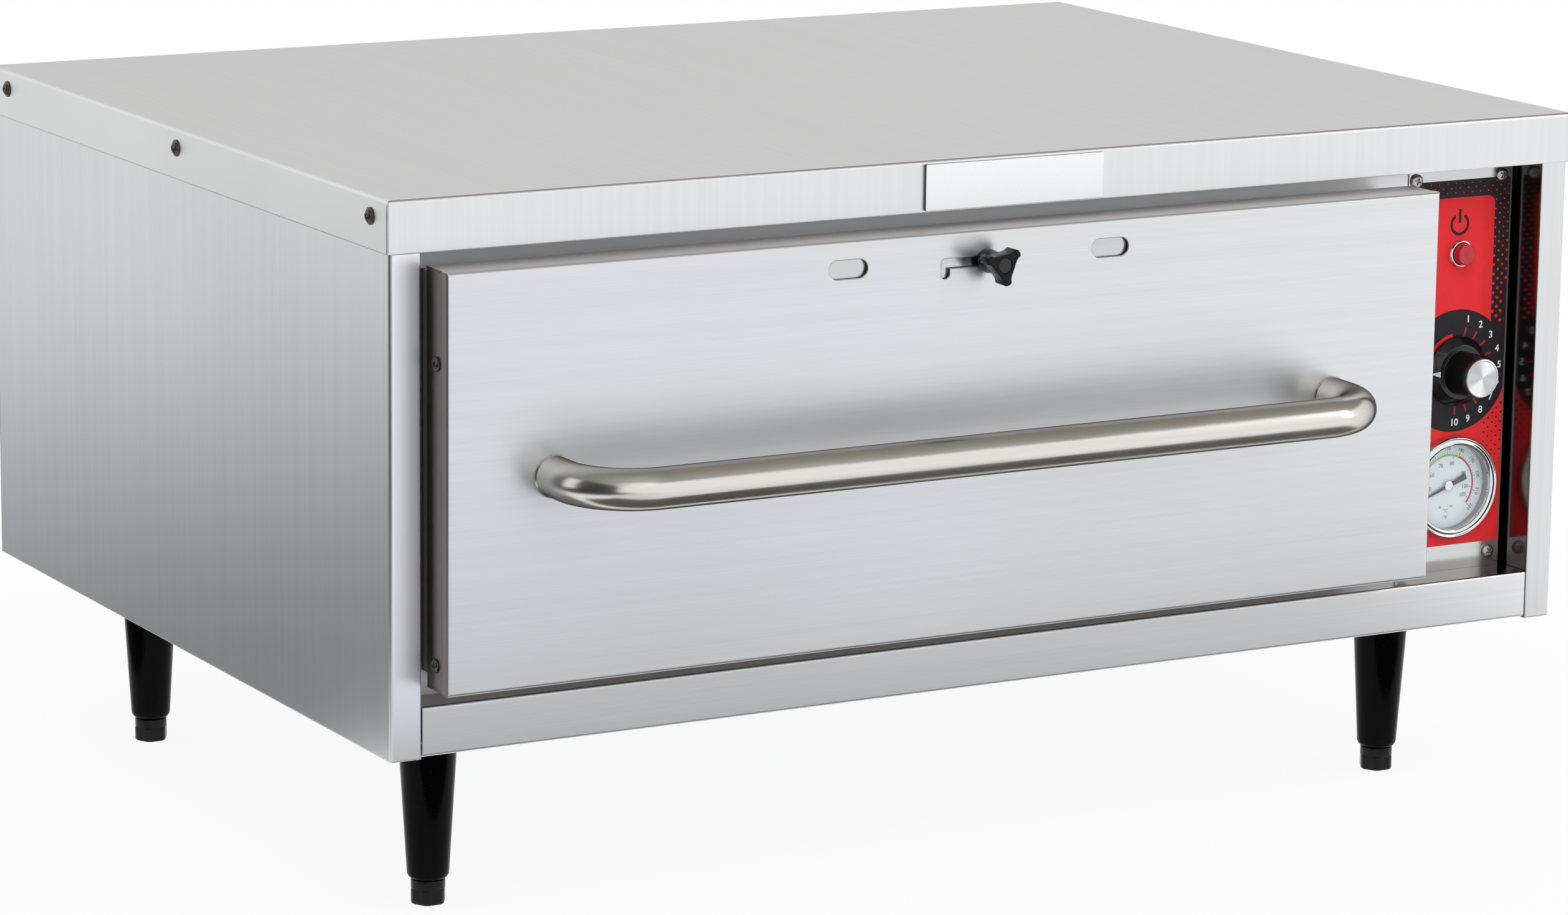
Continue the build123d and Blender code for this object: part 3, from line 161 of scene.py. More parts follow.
def facing_group():
    """1 where the surface faces the given direction, 0 elsewhere."""
    graph, given, result = shader_group("Facing", [("Direction", VECTOR, (0, 0, 1))], [("Mask", FLOAT)])
    normal = graph.node("ShaderNodeNewGeometry").outputs["True Normal"]
    dot = graph.node("ShaderNodeVectorMath", {0: normal, 1: given.outputs[0]}, operation="DOT_PRODUCT")
    graph.feed(result, {"Mask": graph.spread(dot.outputs["Value"], 0.0, 1.0, 0.6, 0.8)})
    return graph.tree


GRAIN = grain_group()
EDGE = edge_group()
SPECKLE = speckle_group()
FACING = facing_group()


def placed(graph, group, **values):
    made = graph.node("ShaderNodeGroup", node_tree=group)
    graph.feed(made, {socket.replace("_", " "): value for socket, value in values.items()})
    return made.outputs


def new_material(name):
    """A material with its Principled shader; the graph, the shader and Object coordinates."""
    material = bpy.data.materials.new(name)
    material.use_nodes = True
    graph = Graph(material.node_tree)
    shader = material.node_tree.nodes["Principled BSDF"]
    place = graph.node("ShaderNodeTexCoord").outputs["Object"]
    return material, graph, shader, place


def bumped(graph, shader, height, strength, depth, edge=0.0):
    """Feeds a bump to the shader, over softened edges where the piece has sharp ones."""
    values = {"Height": height, "Strength": strength, "Distance": depth}
    if edge:
        values["Normal"] = graph.node("ShaderNodeBevel", {"Radius": edge}, samples=6).outputs[0]
    bump = graph.node("ShaderNodeBump", values)
    graph.feed(shader, {"Normal": bump.outputs[0]})


# ---------------------------------------------------------------- metals
ALONG_X, ALONG_Y, ALONG_Z = (5, 700, 900), (900, 5, 900), (900, 700, 5)
OVER_FOLD = (900, 6, 6)


def brushed_steel(name, stretch, dark, light, roughness, swirl=0.0, painted_sides=(), contrast=1.0):
    """Brushed stainless sheet. swirl turns the highlight.

    The list of sides gives faces that look one way a tone and roughness of their own: the way they
    face, their tone and roughness. Those tones are painted light and shade, lighter or darker than the
    sheet.
    """
    material, graph, shader, place = new_material(name)
    grain = placed(graph, GRAIN, Vector=place, Stretch=stretch, Cloud_Scale=3.5)
    mixed = graph.spread(grain["Streak"], 0.5 - 0.5 * contrast, 0.5 + 0.5 * contrast, 0.3, 0.7)
    colour = graph.tint(mixed, dark, light)
    swell = graph.math("MULTIPLY", graph.math("SUBTRACT", grain["Cloud"], 0.5), 0.16)
    rough = graph.math("ADD", swell, roughness)
    # Painted light and shade: sides facing the given way take a lighter or darker tone than the sheet.
    for way, tone, fold_roughness in painted_sides:
        painted_side_mask = placed(graph, FACING, Direction=way)["Mask"]
        mix = {"Factor": painted_side_mask, 2: rough, 3: fold_roughness}
        rough = graph.node("ShaderNodeMix", mix, data_type="FLOAT").outputs[0]
        colour = graph.tint(painted_side_mask, colour, tone)
    graph.feed(shader, {
        "Base Color": colour, "Roughness": rough, "Metallic": 1.0, "Anisotropic": 0.55,
        "Anisotropic Rotation": swirl,
    })
    round_about = graph.node("ShaderNodeTangent", direction_type="RADIAL", axis="Z").outputs[0]
    across = graph.node("ShaderNodeCombineXYZ", {0: 1.0}).outputs[0]
    level = placed(graph, FACING, Direction=(0, 0, 1))["Mask"]
    lay = graph.node("ShaderNodeMix", {"Factor": level, 4: round_about, 5: across}, data_type="VECTOR")
    graph.feed(shader, {"Tangent": lay.outputs[1]})
    bumped(graph, shader, grain["Streak"], 0.1, 0.00005, edge=0.0011)
    return material


def plain_metal(
    name, dark, light, roughness, stretch=(60, 60, 60), depth=0.00002, edge=0.0005, rim=1.0
):
    """Rolled, plated or turned metal with a quiet mottle; rim is its tone where it turns away, and a
    low rim paints shade along those edges.
    """
    material, graph, shader, place = new_material(name)
    grain = placed(graph, GRAIN, Vector=place, Stretch=stretch, Cloud_Scale=14.0)
    edges = placed(graph, EDGE, Reach=max(edge, 0.0003))["Edge"]
    mottled = graph.tint(grain["Streak"], dark, light)
    brighter = tuple(min(1, c * 1.3) for c in light)
    worn = graph.tint(graph.math("MULTIPLY", edges, 0.35), mottled, brighter)
    graph.feed(shader, {"Base Color": worn})
    rough = graph.spread(grain["Cloud"], roughness * 0.8, roughness * 1.25, 0.3, 0.7)
    graph.feed(shader, {"Roughness": rough, "Metallic": 1.0, "Specular Tint": (rim, rim, rim, 1)})
    bumped(graph, shader, grain["Streak"], 0.2, depth, edge=edge)
    return material


def galvanised_sheet():
    """Zinc-coated sheet with its spangle."""
    material, graph, shader, place = new_material("galvanised sheet")
    spangle = graph.node("ShaderNodeTexVoronoi", {"Vector": place, "Scale": 170.0})
    flake = graph.node("ShaderNodeSeparateColor", {0: spangle.outputs["Color"]}).outputs[0]
    graph.feed(shader, {
        "Base Color": graph.tint(flake, (0.47, 0.49, 0.51), (0.58, 0.60, 0.62)),
        "Roughness": graph.spread(flake, 0.28, 0.48), "Metallic": 1.0,
    })
    bumped(graph, shader, flake, 0.1, 0.00005, edge=0.0005)
    return material


def spun_disc():
    """The cap's face, turned so that its shine runs out from the middle, with a bow-tie of painted
    highlight laid in its colour by the angle round the middle.
    """
    material, graph, shader, place = new_material("spun aluminium")
    centre = middle("knob_cap")
    out = graph.node(
        "ShaderNodeVectorMath", {0: place, 1: centre}, operation="DISTANCE",
    ).outputs["Value"]
    rings = graph.node(
        "ShaderNodeTexNoise", {"W": graph.math("MULTIPLY", out, 9000.0)}, noise_dimensions="1D"
    ).outputs[0]
    place_out = graph.node(
        "ShaderNodeVectorMath", {0: place, 1: centre}, operation="SUBTRACT",
    ).outputs[0]
    parts = graph.node("ShaderNodeSeparateXYZ", {0: place_out}).outputs
    # Painted highlight: a bright bow-tie across the face, with a darker tone between, set by the angle
    # round the middle.
    around = graph.math("ARCTAN2", parts[2], parts[0])
    highlight_wave = graph.math("COSINE", graph.math("MULTIPLY", graph.math("SUBTRACT", around, 1.1), 2.0))
    painted_highlight = graph.spread(highlight_wave, 0.0, 1.0, -0.3, 1.0)
    painted_sheen_tone = graph.tint(painted_highlight, (0.55, 0.56, 0.57), (0.97, 0.98, 0.99))
    colour = graph.tint(graph.math("MULTIPLY", rings, 0.25), painted_sheen_tone, (0.40, 0.41, 0.42))
    graph.feed(shader, {
        "Base Color": colour, "Roughness": graph.spread(rings, 0.24, 0.32), "Metallic": 1.0,
        "Anisotropic": 0.85,
    })
    turn = graph.node("ShaderNodeTangent", direction_type="RADIAL", axis="Y")
    graph.feed(shader, {"Tangent": turn.outputs[0]})
    bumped(graph, shader, rings, 0.15, 0.00002)
    return material


# ---------------------------------------------------------------- plastics, paints and the rest
def moulded(name, colour, worn, roughness, coat=0.0, specular=0.5, skin=0.00002, edge=0.0004):
    """Moulded plastic or enamel, a little lighter along its edges, with faint dust."""
    material, graph, shader, place = new_material(name)
    speckle = placed(graph, SPECKLE, Vector=place, Scale=1100.0)
    edges = placed(graph, EDGE, Reach=0.0008)["Edge"]
    rubbed = graph.tint(graph.math("MULTIPLY", edges, 0.5), colour, worn)
    dusted = graph.tint(graph.math("MULTIPLY", speckle["Dust"], 0.05), rubbed, (0.5, 0.5, 0.5))
    graph.feed(shader, {"Base Color": dusted})
    rough = graph.spread(speckle["Skin"], roughness * 0.8, roughness * 1.2, 0.3, 0.7)
    graph.feed(shader, {
        "Roughness": rough, "Coat Weight": coat, "Coat Roughness": 0.05, "Specular IOR Level": specular,
    })
    bumped(graph, shader, speckle["Skin"], 0.25, skin, edge=edge)
    return material


def ink(name, colour, second, roughness=0.4):
    """Screen-printed ink, with the slight mottle of print."""
    material, graph, shader, place = new_material(name)
    mottle = graph.noise(place, 260.0)
    graph.feed(shader, {
        "Base Color": graph.tint(mottle, colour, second),
        "Roughness": graph.spread(mottle, roughness - 0.06, roughness + 0.06),
        "Specular IOR Level": 0.12,
    })
    return material


def badge_enamel():
    """White enamel on the badge's face, with its dark moulded edge."""
    material, graph, shader, place = new_material("badge enamel")
    front = placed(graph, FACING, Direction=(0, -1, 0))["Mask"]
    speckle = placed(graph, SPECKLE, Vector=place, Scale=700.0)
    white = graph.tint(speckle["Skin"], (0.92, 0.93, 0.94), (0.96, 0.97, 0.98))
    graph.feed(shader, {
        "Base Color": graph.tint(front, (0.025, 0.024, 0.026), white),
        "Roughness": graph.spread(speckle["Skin"], 0.14, 0.22), "Coat Weight": 0.5,
    })
    bumped(graph, shader, speckle["Skin"], 0.1, 0.00001)
    return material


def blanket():
    """Glass-fibre insulation: fluffy, matted and slightly yellow."""
    material, graph, shader, place = new_material("glass-fibre blanket")
    grain = placed(graph, GRAIN, Vector=place, Stretch=(220, 260, 700), Cloud_Scale=40.0)
    colour = graph.tint(grain["Streak"], (0.50, 0.42, 0.24), (0.86, 0.80, 0.58))
    graph.feed(shader, {
        "Base Color": colour, "Roughness": graph.spread(grain["Cloud"], 0.85, 1.0), "Sheen Weight": 0.3,
    })
    bumped(graph, shader, grain["Streak"], 0.9, 0.0012)
    return material


def clear_glass():
    material, graph, shader, place = new_material("clear lens")
    smear = graph.noise(place, 90.0)
    graph.feed(shader, {
        "Base Color": graph.tint(smear, (0.96, 0.98, 0.98), (1, 1, 1)),
        "Roughness": graph.spread(smear, 0.0, 0.03, 0.4, 0.8), "Transmission Weight": 1.0, "IOR": 1.1,
    })
    return material


def red_lens():
    """The button's lens: red plastic that light soaks into."""
    material, graph, shader, place = new_material("red lens")
    depth = graph.noise(place, 320.0, 3.0)
    colour = graph.tint(depth, (0.42, 0.008, 0.015), (0.62, 0.03, 0.045))
    graph.feed(shader, {
        "Base Color": colour, "Roughness": graph.spread(depth, 0.2, 0.34), "Subsurface Weight": 0.2,
        "Subsurface Scale": 0.002,
    })
    bumped(graph, shader, depth, 0.15, 0.00005)
    return material


# Painted light: the faces turned to the front, the stile, are painted lighter than the rest of the
# sheet.
UPRIGHT_STEEL = brushed_steel(
    "stainless, upright grain", ALONG_Z, (0.69, 0.705, 0.73), (0.78, 0.795, 0.82), 0.33,
    painted_sides=[((0, -1, 0), (0.915, 0.935, 0.965), 0.34)], contrast=0.4,
)
# Painted shade: the faces turned to the left, the return wall of the control recess, are painted dark
# so the panel's mirror image in it stays dim.
SIDE_STEEL = brushed_steel(
    "stainless, side panel", ALONG_Z, (0.68, 0.685, 0.695), (0.77, 0.775, 0.785), 0.33,
    painted_sides=[((-1, 0, 0), (0.17, 0.15, 0.14), 0.14)], contrast=0.5,
)
# Painted shade: the faces turned to the left, the drawer's return in the gap, are painted dark. The top
# face keeps about the sheet's tone with a rougher finish.
LEVEL_STEEL = brushed_steel(
    "stainless, level grain", ALONG_X, (0.67, 0.685, 0.71), (0.75, 0.765, 0.79), 0.325, swirl=0.25,
    painted_sides=[((-1, 0, 0), (0.26, 0.23, 0.21), 0.36), ((0, 0, 1), (0.72, 0.71, 0.71), 0.42)],
    contrast=0.6,
)
# Painted shade: the rail's top face, under the drawer, is painted dark.
RAIL_STEEL = brushed_steel(
    "stainless, bottom rail", ALONG_X, (0.74, 0.75, 0.765), (0.83, 0.84, 0.855), 0.325, swirl=0.25,
    painted_sides=[((0, 0, 1), (0.34, 0.30, 0.27), 0.16)], contrast=0.6,
)
# Painted light: the liner's ledge is painted near white, as if lit, though the cover shades it.
LEDGE_STEEL_PAINTED_LIGHT = brushed_steel(
    "stainless, inner ledge, painted light", ALONG_X, (0.90, 0.91, 0.93), (0.97, 0.98, 0.99), 0.62,
    swirl=0.25, contrast=0.6,
)
COVER_STEEL = brushed_steel(
    "stainless, top cover", OVER_FOLD, (0.72, 0.725, 0.73), (0.80, 0.805, 0.81), 0.33, contrast=0.4
)
BRIGHT_STEEL = plain_metal(
    "stainless, bright", (0.55, 0.555, 0.565), (0.68, 0.685, 0.69), 0.14, ALONG_X,
)
PAN_STEEL = plain_metal(
    "stainless, pressed pan", (0.58, 0.585, 0.60), (0.72, 0.725, 0.735), 0.2, (120, 120, 400),
)
# Painted shade: a rim tone of 0.12 darkens the tube where it turns away, standing in for the dark
# reflections along its top and bottom.
TUBE_STEEL = plain_metal(
    "satin tube", (0.66, 0.645, 0.60), (0.80, 0.785, 0.735), 0.205, (8, 500, 500), rim=0.12,
)
SCREW_STEEL = plain_metal("plated screw", (0.34, 0.33, 0.31), (0.56, 0.55, 0.53), 0.26, (500, 500, 500))
DARK_SCREW = plain_metal(
    "blackened screw", (0.06, 0.058, 0.055), (0.17, 0.16, 0.15), 0.33, (600, 600, 600),
)
CHROME = plain_metal("chrome", (0.76, 0.77, 0.78), (0.84, 0.85, 0.86), 0.08, (90, 90, 90), edge=0.0003)
ROLLER_STEEL = plain_metal("turned roller", (0.42, 0.42, 0.43), (0.58, 0.58, 0.59), 0.25, (900, 60, 60))
SHEATH = plain_metal("oxidised sheath", (0.05, 0.045, 0.045), (0.17, 0.14, 0.13), 0.5, (200, 200, 200))
COPPER = plain_metal("copper line", (0.55, 0.27, 0.16), (0.78, 0.44, 0.30), 0.3, (300, 300, 300))
BRASS = plain_metal(
    "brass stud", (0.60, 0.42, 0.18), (0.80, 0.62, 0.32), 0.3, (400, 400, 400), edge=0.0002,
)
ZINC = galvanised_sheet()
SPUN = spun_disc()
LEG_ENAMEL = moulded(
    "black enamel", (0.0006, 0.0006, 0.0008), (0.006, 0.006, 0.0065), 0.14, specular=0.07,
)
FOOT_BLACK = moulded("black foot", (0.003, 0.003, 0.0033), (0.03, 0.03, 0.032), 0.25, specular=0.2)
KNOB_BLACK = moulded(
    "knob moulding", (0.005, 0.005, 0.0055), (0.04, 0.04, 0.04), 0.18, coat=0.2, specular=0.4,
)
STAR_BLACK = moulded(
    "star knob moulding", (0.002, 0.002, 0.0025), (0.02, 0.019, 0.022), 0.2, specular=0.2,
)
NYLON = moulded("black nylon", (0.02, 0.02, 0.021), (0.07, 0.07, 0.07), 0.45, skin=0.00004)
PHENOLIC = moulded("brown phenolic", (0.06, 0.04, 0.03), (0.16, 0.11, 0.08), 0.4, skin=0.00003)
SILICONE = moulded("silicone seal", (0.06, 0.055, 0.055), (0.12, 0.11, 0.11), 0.55, skin=0.00005)
WIRE = moulded("wire sleeve", (0.66, 0.64, 0.60), (0.80, 0.78, 0.74), 0.4)
BADGE_FACE = badge_enamel()
DIAL_ENAMEL = moulded("dial enamel", (0.80, 0.87, 0.92), (0.70, 0.76, 0.80), 0.35)
NEEDLE_PAINT = moulded("needle paint", (0.13, 0.135, 0.15), (0.2, 0.2, 0.21), 0.4)
GLASS = clear_glass()
RED_LENS = red_lens()
BLANKET = blanket()
CHARCOAL_INK = ink("charcoal ink", (0.022, 0.019, 0.022), (0.029, 0.025, 0.029))
RED_INK = ink("red ink", (0.84, 0.028, 0.034), (0.89, 0.036, 0.042))
DARK_INK = ink("dark ink", (0.045, 0.012, 0.015), (0.055, 0.016, 0.019))
TICK_INK = ink("tick ink", (0.40, 0.020, 0.030), (0.46, 0.030, 0.040))
WHITE_INK = ink("white ink", (0.78, 0.80, 0.82), (0.86, 0.88, 0.90))
GREY_INK = ink("grey ink", (0.10, 0.105, 0.12), (0.14, 0.145, 0.16))
GREEN_INK = ink("green ink", (0.36, 0.56, 0.20), (0.42, 0.62, 0.24))
ROSE_INK = ink("rose ink", (0.62, 0.14, 0.12), (0.68, 0.18, 0.15))

CARRIED_OVER = {
    UPRIGHT_STEEL: ["left_side_panel"],
    SIDE_STEEL: ["right_side_panel"],
    COVER_STEEL: ["top_cover"],
    LEVEL_STEEL: ["drawer_front", "drawer_inner_panel"],
    RAIL_STEEL: ["bottom_rail"],
    LEDGE_STEEL_PAINTED_LIGHT: ["cavity_liner"],
    BRIGHT_STEEL: ["control_panel", "vent_shutter"],
    PAN_STEEL: ["food_pan", "pan_frame"],
    ZINC: [
        "bottom_panel", "back_panel", "leg_plates", "control_bay_divider", "shutter_guides",
        "left_fixed_rail", "right_fixed_rail", "left_drawer_rail", "right_drawer_rail",
        "element_guard", "element_clips", "bulb_clips",
    ],
    SCREW_STEEL: ["clamp_stud", "thermostat_shaft", "gauge_case"],
    ROLLER_STEEL: ["front_rollers", "rear_rollers"],
    SHEATH: ["heating_element"],
    COPPER: ["thermostat_capillary", "gauge_capillary"],
    CHARCOAL_INK: ["panel_overlay"],
    DIAL_ENAMEL: ["gauge_dial"],
    NYLON: ["cord_gland", "gland_locknut", "switch_body"],
    PHENOLIC: ["terminal_block", "thermostat_body"],
    SILICONE: ["drawer_gasket"],
    WIRE: ["wiring"],
    BLANKET: ["cavity_insulation", "drawer_insulation"],
    GLASS: ["gauge_lens"],
    BADGE_FACE: ["badge_plate"],
}
for material, names in CARRIED_OVER.items():
    for name in names:
        nodes[name].data.materials.clear()
        nodes[name].data.materials.append(material)

# ---------------------------------------------------------------- making pieces
SHARP_ANGLE = math.radians(32)


def bare_mesh(shape, name):
    """A bmesh made a smooth-shaded mesh with its creases kept sharp."""
    mesh = bpy.data.meshes.new(name)
    shape.to_mesh(mesh)
    shape.free()
    mesh.shade_smooth()
    mesh.set_sharp_from_angle(angle=SHARP_ANGLE)
    return mesh


def mesh_from(shape, name):
    """The same for closed shapes, with doubled points merged and all faces outward."""
    bmesh.ops.remove_doubles(shape, verts=shape.verts, dist=1e-7)
    bmesh.ops.recalc_face_normals(shape, faces=shape.faces)
    return bare_mesh(shape, name)


def fitted(name, mesh, material, body, slot, stands_for=()):
    """Puts a mesh on its body with its finish, in place of the CAD nodes it stands for."""
    piece = loose(mesh, name)
    mesh.materials.clear()
    mesh.materials.append(material)
    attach(piece, body)
    if stands_for:
        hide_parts(*stands_for)
    return piece


def shaped(name, shape, *rest):
    """The same for a closed bmesh."""
    return fitted(name, mesh_from(shape, name), *rest)


def turned_piece(name, centre, profile, corner, steps, *rest):
    """The same for one turned profile with small round corners."""
    shape = bmesh.new()
    turned(shape, centre, rounded(profile, corner), steps=steps)
    return shaped(name, shape, *rest)


def plain_mesh(source):
    """The evaluated result of an object as a mesh of its own; the object goes."""
    bpy.context.view_layer.update()
    ready = source.evaluated_get(bpy.context.evaluated_depsgraph_get())
    mesh = bpy.data.meshes.new_from_object(ready)
    bpy.data.objects.remove(source)
    return mesh


def loose(data, name="work piece"):
    """An object of its own in the scene."""
    piece = bpy.data.objects.new(name, data)
    bpy.context.scene.collection.objects.link(piece)
    return piece


ROUNDING_STEPS = 4


def rounded(points, radius):
    """The corners of an open profile drawn as small arcs."""
    drawn = [Vector(points[0])]
    for before, corner, after in zip(points, points[1:], points[2:]):
        before, corner, after = Vector(before), Vector(corner), Vector(after)
        back_way, on_way = before - corner, after - corner
        reach = min(radius, back_way.length / 2, on_way.length / 2)
        start, end = corner + back_way.normalized() * reach, corner + on_way.normalized() * reach
        for step in range(ROUNDING_STEPS + 1):
            along = step / ROUNDING_STEPS
            drawn.append(
                start * (1 - along) ** 2 + corner * 2 * along * (1 - along) + end * along**2
            )
    drawn.append(Vector(points[-1]))
    return drawn


def joined(shape, rings):
    """Faces from each ring of points to the next."""
    for ring, following in zip(rings, rings[1:]):
        for step in range(len(ring)):
            after = (step + 1) % len(ring)
            shape.faces.new((ring[step], ring[after], following[after], following[step]))


def walled(shape, near, far):
    """Two matching outlines closed into a solid."""
    shape.faces.new(near)
    shape.faces.new(list(reversed(far)))
    for step in range(len(near)):
        after = (step + 1) % len(near)
        shape.faces.new((near[step], far[step], far[after], near[after]))


def turned(shape, centre, profile, axis="Y", steps=96, closed=False):
    """Turns a profile of (radius, height) about an axis through the centre, into the bmesh.

    A closed profile makes a ring.
    """
    rings = []
    for radius, height in profile:
        ring = []
        for step in range(steps):
            angle = 2 * math.pi * step / steps
            out, side = radius * math.cos(angle), radius * math.sin(angle)
            if axis == "Y":
                place = (centre[0] + out, centre[1] + height, centre[2] + side)
            else:
                place = (centre[0] + out, centre[1] + side, centre[2] + height)
            ring.append(shape.verts.new(place))
        rings.append(ring)
    joined(shape, rings + rings[:1] if closed else rings)
    for end in (0, -1):
        if profile[end][0] > 1e-6 and not closed:
            shape.faces.new(rings[end])


def prism(shape, outline, front, depth):
    """A flat shape in x and z, given a thickness along y."""
    near = [shape.verts.new((x, front, z)) for x, z in outline]
    far = [shape.verts.new((x, front + depth, z)) for x, z in outline]
    walled(shape, near, far)


def on_circle(centre, radius, degrees):
    """A point of a dial, clockwise from the top as it is read from the front."""
    turn = math.radians(degrees)
    return (centre[0] + radius * math.sin(turn), centre[2] + radius * math.cos(turn))


def band(centre, inner, outer, start, end, step=2.0):
    """The outline of a stretch of ring."""
    count = max(2, int(abs(end - start) / step))
    turns = [start + (end - start) * place / count for place in range(count + 1)]
    outside = [on_circle(centre, outer, turn) for turn in turns]
    inside = [on_circle(centre, inner, turn) for turn in reversed(turns)]
    return outside + inside


def tick(centre, inner, outer, degrees, width):
    """The outline of one dial mark."""
    turn = math.radians(degrees)
    side = Vector((math.cos(turn), -math.sin(turn))) * width / 2
    near, far = Vector(on_circle(centre, inner, degrees)), Vector(on_circle(centre, outer, degrees))
    return [near - side, far - side, far + side, near + side]


def lettering(shape, text, place, height, front, depth, spin=0.0, bold=0.0):
    """Plain numbers or letters lying on a face that looks to the front."""
    curve = bpy.data.curves.new("lettering", "FONT")
    curve.body = text
    curve.size = height
    curve.align_x = "CENTER"
    curve.align_y = "CENTER"
    curve.extrude = depth / 2
    curve.offset = bold
    mesh = plain_mesh(loose(curve))
    stand = Matrix.Rotation(math.radians(90), 4, "X")
    turn = Matrix.Rotation(math.radians(-spin), 4, "Z")
    mesh.transform(Matrix.Translation((place[0], front + depth / 2, place[1])) @ stand @ turn)
    shape.from_mesh(mesh)
    bpy.data.meshes.remove(mesh)


# ---------------------------------------------------------------- screws, by Geometry Nodes
def geometry_group(name, sockets):
    """A Geometry Nodes tree with its inputs and one result."""
    tree = bpy.data.node_groups.new(name, "GeometryNodeTree")
    tree.is_modifier = True
    for label, kind in sockets:
        tree.interface.new_socket(name=label, in_out="INPUT", socket_type=kind)
    tree.interface.new_socket(name="Result", in_out="OUTPUT", socket_type="NodeSocketGeometry")
    return Graph(tree), tree.nodes.new("NodeGroupInput").outputs


def realised(graph, copies, finish):
    """Ends a tree: its copies as plain mesh, with their finish."""
    real = graph.node("GeometryNodeRealizeInstances", {0: copies}).outputs[0]
    done = graph.node("GeometryNodeSetMaterial", {"Geometry": real, "Material": finish})
    graph.feed(graph.node("NodeGroupOutput"), {0: done.outputs[0]})
    return graph.tree


def repeat_tree():
    """Sets a part on every given point, with a fixed random turn about its own axis."""
    graph, given = geometry_group("Part on points", (
        ("Points", "NodeSocketGeometry"),
        ("Part", "NodeSocketObject"),
        ("Facing", "NodeSocketVector"),
        ("Most Turn", "NodeSocketFloat"),
        ("Seed", "NodeSocketInt"),
        ("Finish", "NodeSocketMaterial"),
    ))
    part = graph.node("GeometryNodeObjectInfo", {"Object": given["Part"]}).outputs["Geometry"]
    stance = graph.node("FunctionNodeEulerToRotation", {0: given["Facing"]}).outputs[0]
    chance = graph.node(
        "FunctionNodeRandomValue", {2: 0.0, 3: given["Most Turn"], "Seed": given["Seed"]},
        data_type="FLOAT",
    ).outputs[1]
    spin = graph.node(
        "FunctionNodeAxisAngleToRotation", {"Axis": (0, 0, 1), "Angle": chance}
    ).outputs[0]
    turned_part = graph.node(
        "FunctionNodeRotateRotation", {0: stance, 1: spin}, rotation_space="LOCAL"
    ).outputs[0]
    copies = graph.node(
        "GeometryNodeInstanceOnPoints",
        {"Points": given["Points"], "Instance": part, "Rotation": turned_part},
    ).outputs[0]
    return realised(graph, copies, given["Finish"])


REPEAT = repeat_tree()


def set_inputs(modifier, **values):
    """Sets a Geometry Nodes modifier's inputs by their sockets' identifiers."""
    for item in modifier.node_group.interface.items_tree:
        label = item.name.replace(" ", "_")
        if item.item_type == "SOCKET" and item.in_out == "INPUT" and label in values:
            modifier[item.identifier] = values[label]


def repeated(name, part_mesh, places, facing, material, body, slot, stands_for=(), seed=3):
    """One mesh of the same part at every place. facing is the Euler turn of the part's own +Z."""
    part = loose(part_mesh, "pattern part")
    dots = bpy.data.meshes.new("places")
    dots.from_pydata([tuple(place) for place in places], [], [])
    holder = loose(dots, "holder")
    modifier = holder.modifiers.new("parts", "NODES")
    modifier.node_group = REPEAT
    set_inputs(modifier, Part=part, Facing=facing, Most_Turn=2 * math.pi, Seed=seed, Finish=material)
    mesh = plain_mesh(holder)
    bpy.data.objects.remove(part)
    return fitted(name, mesh, material, body, slot, stands_for)


TO_FRONT = (math.radians(90), 0, 0)
TO_LEFT = (0, math.radians(-90), 0)
TO_RIGHT = (0, math.radians(90), 0)
TO_BACK = (math.radians(-90), 0, 0)


def cross_recess(width, length, depth, top):
    """The tapered cross of a screwdriver bit."""
    shape = bmesh.new()
    for long_way, short_way in ((length, width), (width, length)):
        corners = []
        for level, shrink in ((top + 0.5 * MM, 1.15), (top - depth, 0.55)):
            x, y = long_way / 2 * shrink, short_way / 2 * shrink
            square = ((-x, -y), (x, -y), (x, y), (-x, y))
            corners.append([shape.verts.new((*corner, level)) for corner in square])
        walled(shape, *corners)
    return mesh_from(shape, "cross recess")


def recessed(mesh, recess):
    """The first mesh with the second cut out of it."""
    body, cutter = loose(mesh), loose(recess)
    cut = body.modifiers.new("cut", "BOOLEAN")
    cut.operation = "DIFFERENCE"
    cut.solver = "EXACT"
    cut.use_self = True
    cut.object = cutter
    result = plain_mesh(body)
    bpy.data.objects.remove(cutter)
    result.set_sharp_from_angle(angle=SHARP_ANGLE)
    return result


def pan_head(radius, height, skirt=0.0, washer=0.0):
    """A domed screw head standing on the origin, with its cross; washer is a wider disc under it."""
    shape = bmesh.new()
    base = 0.0
    if washer:
        base = 0.8 * MM
        disc = rounded([(0, 0), (washer, 0), (washer, base), (0, base)], 0.25 * MM)
        turned(shape, (0, 0, 0), disc, axis="Z", steps=40)
    dome = [
        (radius * math.cos(turn), base + skirt + (height - skirt) * math.sin(turn))
        for turn in (math.radians(step * 10) for step in range(9))
    ]
    profile = [(0, base - 0.1 * MM), (radius, base - 0.1 * MM), *dome, (0, base + height)]
    turned(shape, (0, 0, 0), profile, axis="Z", steps=40)
    head = mesh_from(shape, "pan head")
    return recessed(head, cross_recess(0.9 * MM, radius * 1.25, 1.3 * MM, base + height))


def both_sides(name, head, sides, rows, body, slot, node, seed):
    """The same dark screws on the left and the right; rows gives their y and z."""
    other = head.copy()
    left, right = ([(x, y, z) for y, z in rows] for x in sides)
    repeated(name + "_left", head, left, TO_LEFT, DARK_SCREW, body, slot, (node,))
    repeated(name + "_right", other, right, TO_RIGHT, DARK_SCREW, body, slot, seed=seed)


